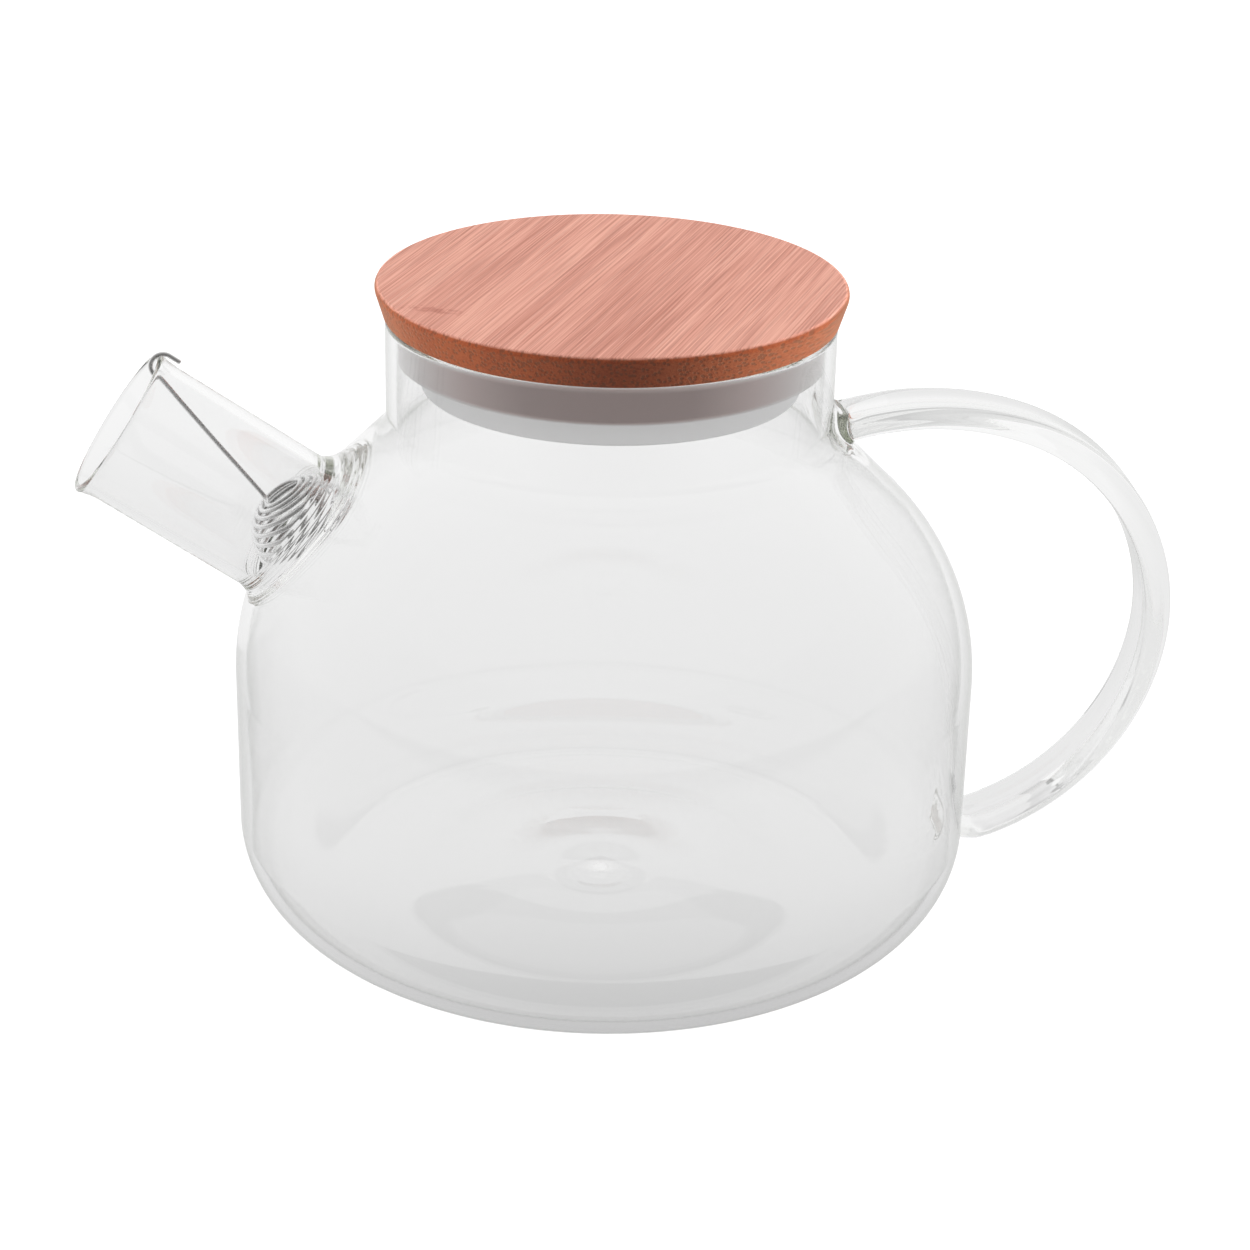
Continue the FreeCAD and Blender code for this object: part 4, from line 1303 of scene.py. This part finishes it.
@dataclass
class Strainer:
    """One wire: a hook over the spout's lip, a straight stem and a domed coil."""

    wire_radius: float = 0.45
    hook_gap: float = 0.35
    hook_leg: float = 1.8
    hook_inner_leg: float = 0.5
    lip_flare: float = 1.0
    stem_bend: float = 1.6
    coil_gap: float = 1.15
    coil_tip_radius: float = 3.3
    coil_length: float = 9.8
    coil_turns: float = 8.0
    coil_angle: float = 22.0
    coil_lead: float = 1.9
    coil_depth: float = 6.5
    coil_rise: float = 0.8
    points_per_turn: int = 96
    step: float = 0.25
    sides: int = 14

    def coil(self, turns: Array, bore: float) -> Array:
        """Points of the coil in the spout's frame, from its small turn to its wide one."""
        tilt = math.radians(self.coil_angle)
        axis = np.array([math.sin(tilt), 0.0, math.cos(tilt)])
        side = np.array([-math.cos(tilt), 0.0, math.sin(tilt)])
        base = np.array([self.coil_rise, 0.0, -self.coil_depth])
        wide = bore - self.coil_gap - self.wire_radius
        share = turns / self.coil_turns * math.pi / 2
        reach = self.coil_tip_radius + (wide - self.coil_tip_radius) * np.sin(share)
        centre = base + axis * (self.coil_length * np.cos(share))[:, None]
        spin = 2 * math.pi * turns
        sideways = np.array([0.0, -1.0, 0.0]) * (reach * np.sin(spin))[:, None]
        return centre + side * (reach * np.cos(spin))[:, None] + sideways

    def path(self, spout: Spout) -> Array:
        """Middle line of the wire in the spout's frame."""
        gap = self.hook_gap + self.wire_radius
        bore = spout.radius - spout.wall
        outer_leg, inner_leg = spout.radius + self.lip_flare + gap, bore - gap
        hook_round = (outer_leg - inner_leg) / 2
        top = spout.length + gap
        hook_foot = top - hook_round
        turns = np.linspace(0.0, self.coil_turns, round(self.coil_turns * self.points_per_turn) + 1)
        winding = self.coil(turns, bore)
        lead = winding[0] - unit(winding[1] - winding[0]) * self.coil_lead
        corners = np.array([(outer_leg, 0, hook_foot - self.hook_leg), (outer_leg, 0, top),
                            (inner_leg, 0, top), (inner_leg, 0, hook_foot - self.hook_inner_leg),
                            lead, winding[0]], float)
        bends = (hook_round, hook_round, self.stem_bend, self.stem_bend)
        run = rounded_run(corners, bends, self.step)
        tail = winding[-1] + unit(winding[-1] - winding[-2]) * (2 * self.wire_radius)
        return np.vstack([run, winding[1:], tail[None]])

    def build(self, finish: bpy.types.Material, spout: Spout, pot: Pot) -> None:
        """Make the wire on the strainer's body."""
        root, axes = spout.place(pot)
        line = root + self.path(spout) @ axes
        skin = wire_skin(line, self.wire_radius, self.sides)
        mesh = skin.mesh("strainer_wire", *skin.gathered())
        show("strainer_wire", mesh, finish, Body.STRAINER, ("spout_strainer",))


def rounded_run(corners: Array, bends: tuple[float, ...], step: float) -> Array:
    """Points of straight runs through corners, with an arc at each inner one."""
    points = [corners[0]]
    for before, corner, after, radius in zip(corners, corners[1:], corners[2:], bends):
        arrive, leave = unit(corner - before), unit(after - corner)
        angle = math.acos(float(np.clip(arrive @ leave, -1, 1)))
        back = radius * math.tan(angle / 2)
        begin, centre_way = corner - arrive * back, unit(leave - arrive)
        centre = corner + centre_way * (radius / math.cos(angle / 2))
        fill_line(points, begin, step)
        side = unit(begin - centre)
        for turn in np.linspace(0.0, angle, max(4, round(radius * angle / step)) + 1)[1:]:
            points.append(centre + radius * (side * math.cos(turn) + arrive * math.sin(turn)))
    fill_line(points, corners[-1], step)
    return np.array(points)


def fill_line(points: list[Array], end: Array, step: float) -> None:
    """Continue a list of points straight to an end, if there is room."""
    span = np.linalg.norm(end - points[-1])
    if span > TINY:
        start = points[-1]
        for share in np.linspace(0.0, 1.0, max(1, round(span / (4 * step))) + 1)[1:]:
            points.append(start + share * (end - start))


def wire_skin(line: Array, radius: float, sides: int) -> Skin:
    """Round wire along a line of points, with domed ends."""
    ahead = unit(np.gradient(line, axis=0))
    side = unit(np.cross(ahead[0], [0.0, 1.0, 0.0]))
    sides_along = []
    for direction in ahead:
        side = unit(side - (side @ direction) * direction)
        sides_along.append(side)
    across = np.array(sides_along)
    over = np.cross(ahead, across)
    turns = 2 * math.pi * np.arange(sides) / sides
    rays = np.cos(turns)[None, :, None] * across[:, None] + np.sin(turns)[None, :, None] * over[:, None]
    dome = np.radians(DOME_ANGLES)
    heads = [line[0] + radius * (math.cos(a) * rays[0] - math.sin(a) * ahead[0]) for a in dome]
    tails = [line[-1] + radius * (math.cos(a) * rays[-1] + math.sin(a) * ahead[-1]) for a in dome[::-1]]
    points = np.concatenate([np.stack(heads), line[:, None] + radius * rays, np.stack(tails)])
    skin = Skin()
    numbers = skin.add(points, grid_normals(points))
    skin.quads(numbers)
    for row, tip, way in ((numbers[0][::-1], line[0], -ahead[0]), (numbers[-1], line[-1], ahead[-1])):
        pole = int(skin.add((tip + radius * way)[None], way[None])[0])
        skin.fan(pole, row)
    return skin


@dataclass(frozen=True)
class SoftLamp:
    """Square soft lamp aimed at a point, in metres and watts."""

    name: str
    place: Triple
    target: Triple
    size: float
    power: float

    def make(self) -> bpy.types.Object:
        """Put the lamp in the scene, unseen by itself in glass and metal."""
        lamp = bpy.data.lights.new(self.name, "AREA")
        lamp.size = self.size
        lamp.energy = self.power
        holder = bpy.data.objects.new(self.name, lamp)
        holder.location = self.place
        aim = Vector(self.target) - Vector(self.place)
        holder.rotation_euler = aim.to_track_quat("-Z", "Y").to_euler()
        holder.visible_glossy = holder.visible_transmission = False
        bpy.context.scene.collection.objects.link(holder)
        return holder


@dataclass
class Studio:
    """Pale floor, soft light and the camera."""

    camera_place: Triple = (-50.7, -518.3, 289.7)
    camera_target: Triple = (3.74, -0.39, 55.32)
    camera_roll: float = 1.36
    camera_near: float = 0.01
    lens: float = 86.4
    sensor: float = 36.0
    floor_radius: float = 4.0
    floor_heights: Pair = (-2.0, -0.05)
    floor_rounds: Pair = (1.0, 0.5)
    floor_step: float = 400.0
    floor_columns: int = 64
    floor_colour: Triple = (0.42, 0.42, 0.42)
    near_glow: float = 0.6
    far_glow: float = 0.95
    glow_reach: Pair = (0.16, 0.7)
    # Painted shade on the floor as glass shows it: greyer towards the camera, and a painted shadow (foot_dip)
    # along the front of the foot.
    glass_glow: Pair = (0.84, 0.965)
    glow_depth: Pair = (0.05, 0.28)
    front_glow: float = 0.66
    front_depth: Pair = (-0.18, -0.38)
    foot_dip: float = 0.245
    dip_reach: Pair = (0.09, 0.12)
    dip_depth: Pair = (0.04, -0.06)
    back_fill: float = 0.5
    front_fill: float = 0.21
    front_seen: float = 0.88
    gap: Pair = (0.52, 0.6)
    gap_edge: float = 0.006
    gap_seen: Pair = (0.95, 0.5)
    overhead_seen: Pair = (0.95, 0.77)
    turn_back: Pair = (0.6, 0.72)
    fill_turn: Pair = (-0.7, 0.2)
    seen_turn: Pair = (-0.3, 0.3)
    top: SoftLamp = SoftLamp("top_softbox", (0.0, 0.35, 1.3), (0.0, 0.0, 0.05), 1.2, 6.0)
    sides: tuple[SoftLamp, ...] = (
        SoftLamp("left_softbox", (-1.2, 0.0, 0.27), (0.0, 0.0, 0.1), 0.5, 21.0),
        SoftLamp("right_softbox", (1.2, 0.0, 0.27), (0.0, 0.0, 0.1), 0.5, 31.0))
    cards: tuple[SoftLamp, ...] = (
        SoftLamp("left_card", (-1.04, -0.6, 0.2), (0.0, 0.0, 0.1), 0.5, 2.0),
        SoftLamp("right_card", (1.04, -0.6, 0.2), (0.0, 0.0, 0.1), 0.5, 2.0))

    def build(self, seal: bpy.types.Object) -> None:
        """Make the whole studio.

        Args:
            seal: the piece that has weaker lamps of its own, as it stands behind the neck's glass.
        """
        self.make_floor()
        self.make_world()
        self.top.make()
        self.link_lamps(self.sides, seal, "EXCLUDE", "behind_the_neck")
        self.link_lamps(self.cards, seal, "INCLUDE", "seal_alone")
        self.make_camera()

    def link_lamps(self, lamps: tuple[SoftLamp, ...], seal: bpy.types.Object, state: str, name: str) -> None:
        """Make lamps that light the seal alone, or everything but the seal.

        Args:
            lamps: the lamps.
            seal: the seal.
            state: INCLUDE for lamps of its own, EXCLUDE for lamps that leave it out.
            name: name of the collection that links them.
        """
        linked = bpy.data.collections.new(name)
        linked.objects.link(seal)
        linked.collection_objects[0].light_linking.link_state = state
        for lamp in lamps:
            lamp.make().light_linking.receiver_collection = linked

    def seen(self, book: NodeBook, straight: Level, shone: Level, lit: Level) -> Socket:
        """Level of the background for each kind of ray.

        Args:
            book: the tree to add to.
            straight: level for the camera.
            shone: level for what metal and glass show.
            lit: level for light on the object.

        Returns:
            The level.
        """
        camera = book.add("ShaderNodeLightPath").outputs["Is Camera Ray"]
        return book.mix(camera, book.mix(self.shine(book), lit, shone), straight)

    def shine(self, book: NodeBook) -> Socket:
        """One for what metal and glass show."""
        path = book.add("ShaderNodeLightPath").outputs
        return book.math("MAXIMUM", path["Is Glossy Ray"], path["Is Transmission Ray"])

    def sweep(self, book: NodeBook, place: Socket, away: Socket) -> Socket:
        """Glow of the floor as glass shows it, with painted shade: greyer towards the camera, and a painted
        shadow along the front of the foot.
        """
        # Painted shadow: a dark ring round the foot, on its front side.
        near = book.spread(away, self.dip_reach, (self.foot_dip, 0.0), "SMOOTHSTEP")
        depth = book.part(place, "Y")
        front = book.math("POWER", book.spread(depth, self.dip_depth, (0.0, 1.0)), 2.0)
        # Painted shade: the glow falls off towards the camera.
        behind = book.spread(depth, self.glow_depth, self.glass_glow)
        before = book.spread(depth, self.front_depth, (1.0, self.front_glow), "SMOOTHSTEP")
        level = book.math("MULTIPLY", behind, before)
        return book.math("SUBTRACT", level, book.math("MULTIPLY", near, front))

    def make_floor(self) -> None:
        """Round floor that stays white around the object and keeps its shadow."""
        profile = Profile()
        edge, (bottom, top) = self.floor_radius / MM, self.floor_heights
        low, high = self.floor_rounds
        profile.corners([(0.0, bottom, 0.0), (edge, bottom, low), (edge, top, high), (0.0, top, 0.0)],
                        self.floor_step)
        skin = turned(profile, self.floor_columns)
        mesh = skin.mesh("floor", *skin.gathered())
        material, book = new_material("pale_floor")
        lit = book.add("ShaderNodeBsdfDiffuse", {"Color": (*self.floor_colour, 1.0)})
        place = book.place()
        away = book.away(place)
        level = book.spread(away, self.glow_reach, (self.near_glow, self.far_glow))
        glow = book.add("ShaderNodeEmission", {
            "Color": (1, 1, 1, 1), "Strength": self.seen(book, level, self.sweep(book, place, away), 0.0)})
        both = book.add("ShaderNodeAddShader", {0: lit.outputs[0], 1: glow.outputs[0]})
        plain = book.add("ShaderNodeMixShader", {0: self.shine(book), 1: both.outputs[0], 2: glow.outputs[0]})
        book.add("ShaderNodeOutputMaterial", {"Surface": plain.outputs[0]})
        mesh.materials.append(material)
        floor = bpy.data.objects.new("floor", mesh)
        bpy.context.scene.collection.objects.link(floor)

    def make_world(self) -> None:
        """White backdrop with a dim gap under the overhead light, and a softer fill for what is lit."""
        world = bpy.data.worlds.new("studio")
        bpy.context.scene.world = world
        world.use_nodes = True
        book = NodeBook(world.node_tree)
        way = book.add("ShaderNodeTexCoord").outputs["Generated"]
        parts = book.add("ShaderNodeSeparateXYZ", {"Vector": way}).outputs
        fill = book.spread(parts["Y"], self.fill_turn, (self.front_fill, self.back_fill))
        round_about = book.spread(parts["Y"], self.seen_turn, (self.front_seen, 1.0))
        over, past = (book.spread(parts["Z"], (edge, edge + self.gap_edge), (0.0, 1.0)) for edge in self.gap)
        gap = book.spread(parts["Y"], self.turn_back, self.gap_seen)
        overhead = book.spread(parts["Y"], self.turn_back, self.overhead_seen)
        shine = book.mix(over, round_about, book.mix(past, gap, overhead))
        glow = book.add("ShaderNodeBackground", {
            "Color": (1, 1, 1, 1), "Strength": self.seen(book, 1.0, shine, fill)})
        book.add("ShaderNodeOutputWorld", {"Surface": glow.outputs["Background"]})

    def make_camera(self) -> None:
        """Camera at the photograph's place, lens and tilt."""
        camera = bpy.data.cameras.new("camera")
        camera.lens = self.lens
        camera.sensor_width = self.sensor
        camera.clip_start = self.camera_near
        place, target = Vector(self.camera_place) * MM, Vector(self.camera_target) * MM
        aim = (target - place).to_track_quat("-Z", "Y").to_matrix().to_4x4()
        holder = bpy.data.objects.new("camera", camera)
        holder.matrix_world = (Matrix.Translation(place) @ aim
                               @ Matrix.Rotation(math.radians(self.camera_roll), 4, "Z"))
        bpy.context.scene.collection.objects.link(holder)
        bpy.context.scene.camera = holder


def main() -> None:
    """Build the teapot and its studio."""
    logging.basicConfig(level=logging.INFO, format="%(name)s: %(message)s")
    scene = bpy.context.scene
    scene.view_settings.view_transform = "Standard"
    scene.cycles.max_bounces = scene.cycles.transmission_bounces = scene.cycles.glossy_bounces = LIGHT_BOUNCES
    pot, spout = Pot(), Spout()
    Glass(pot, spout, Handle()).build(ClearGlass().material())
    seal = Lid().build(Bamboo().material(), Silicone().material())
    Strainer().build(DrawnWire().material(), spout, pot)
    Studio().build(seal)


if __name__ == "__main__":
    main()
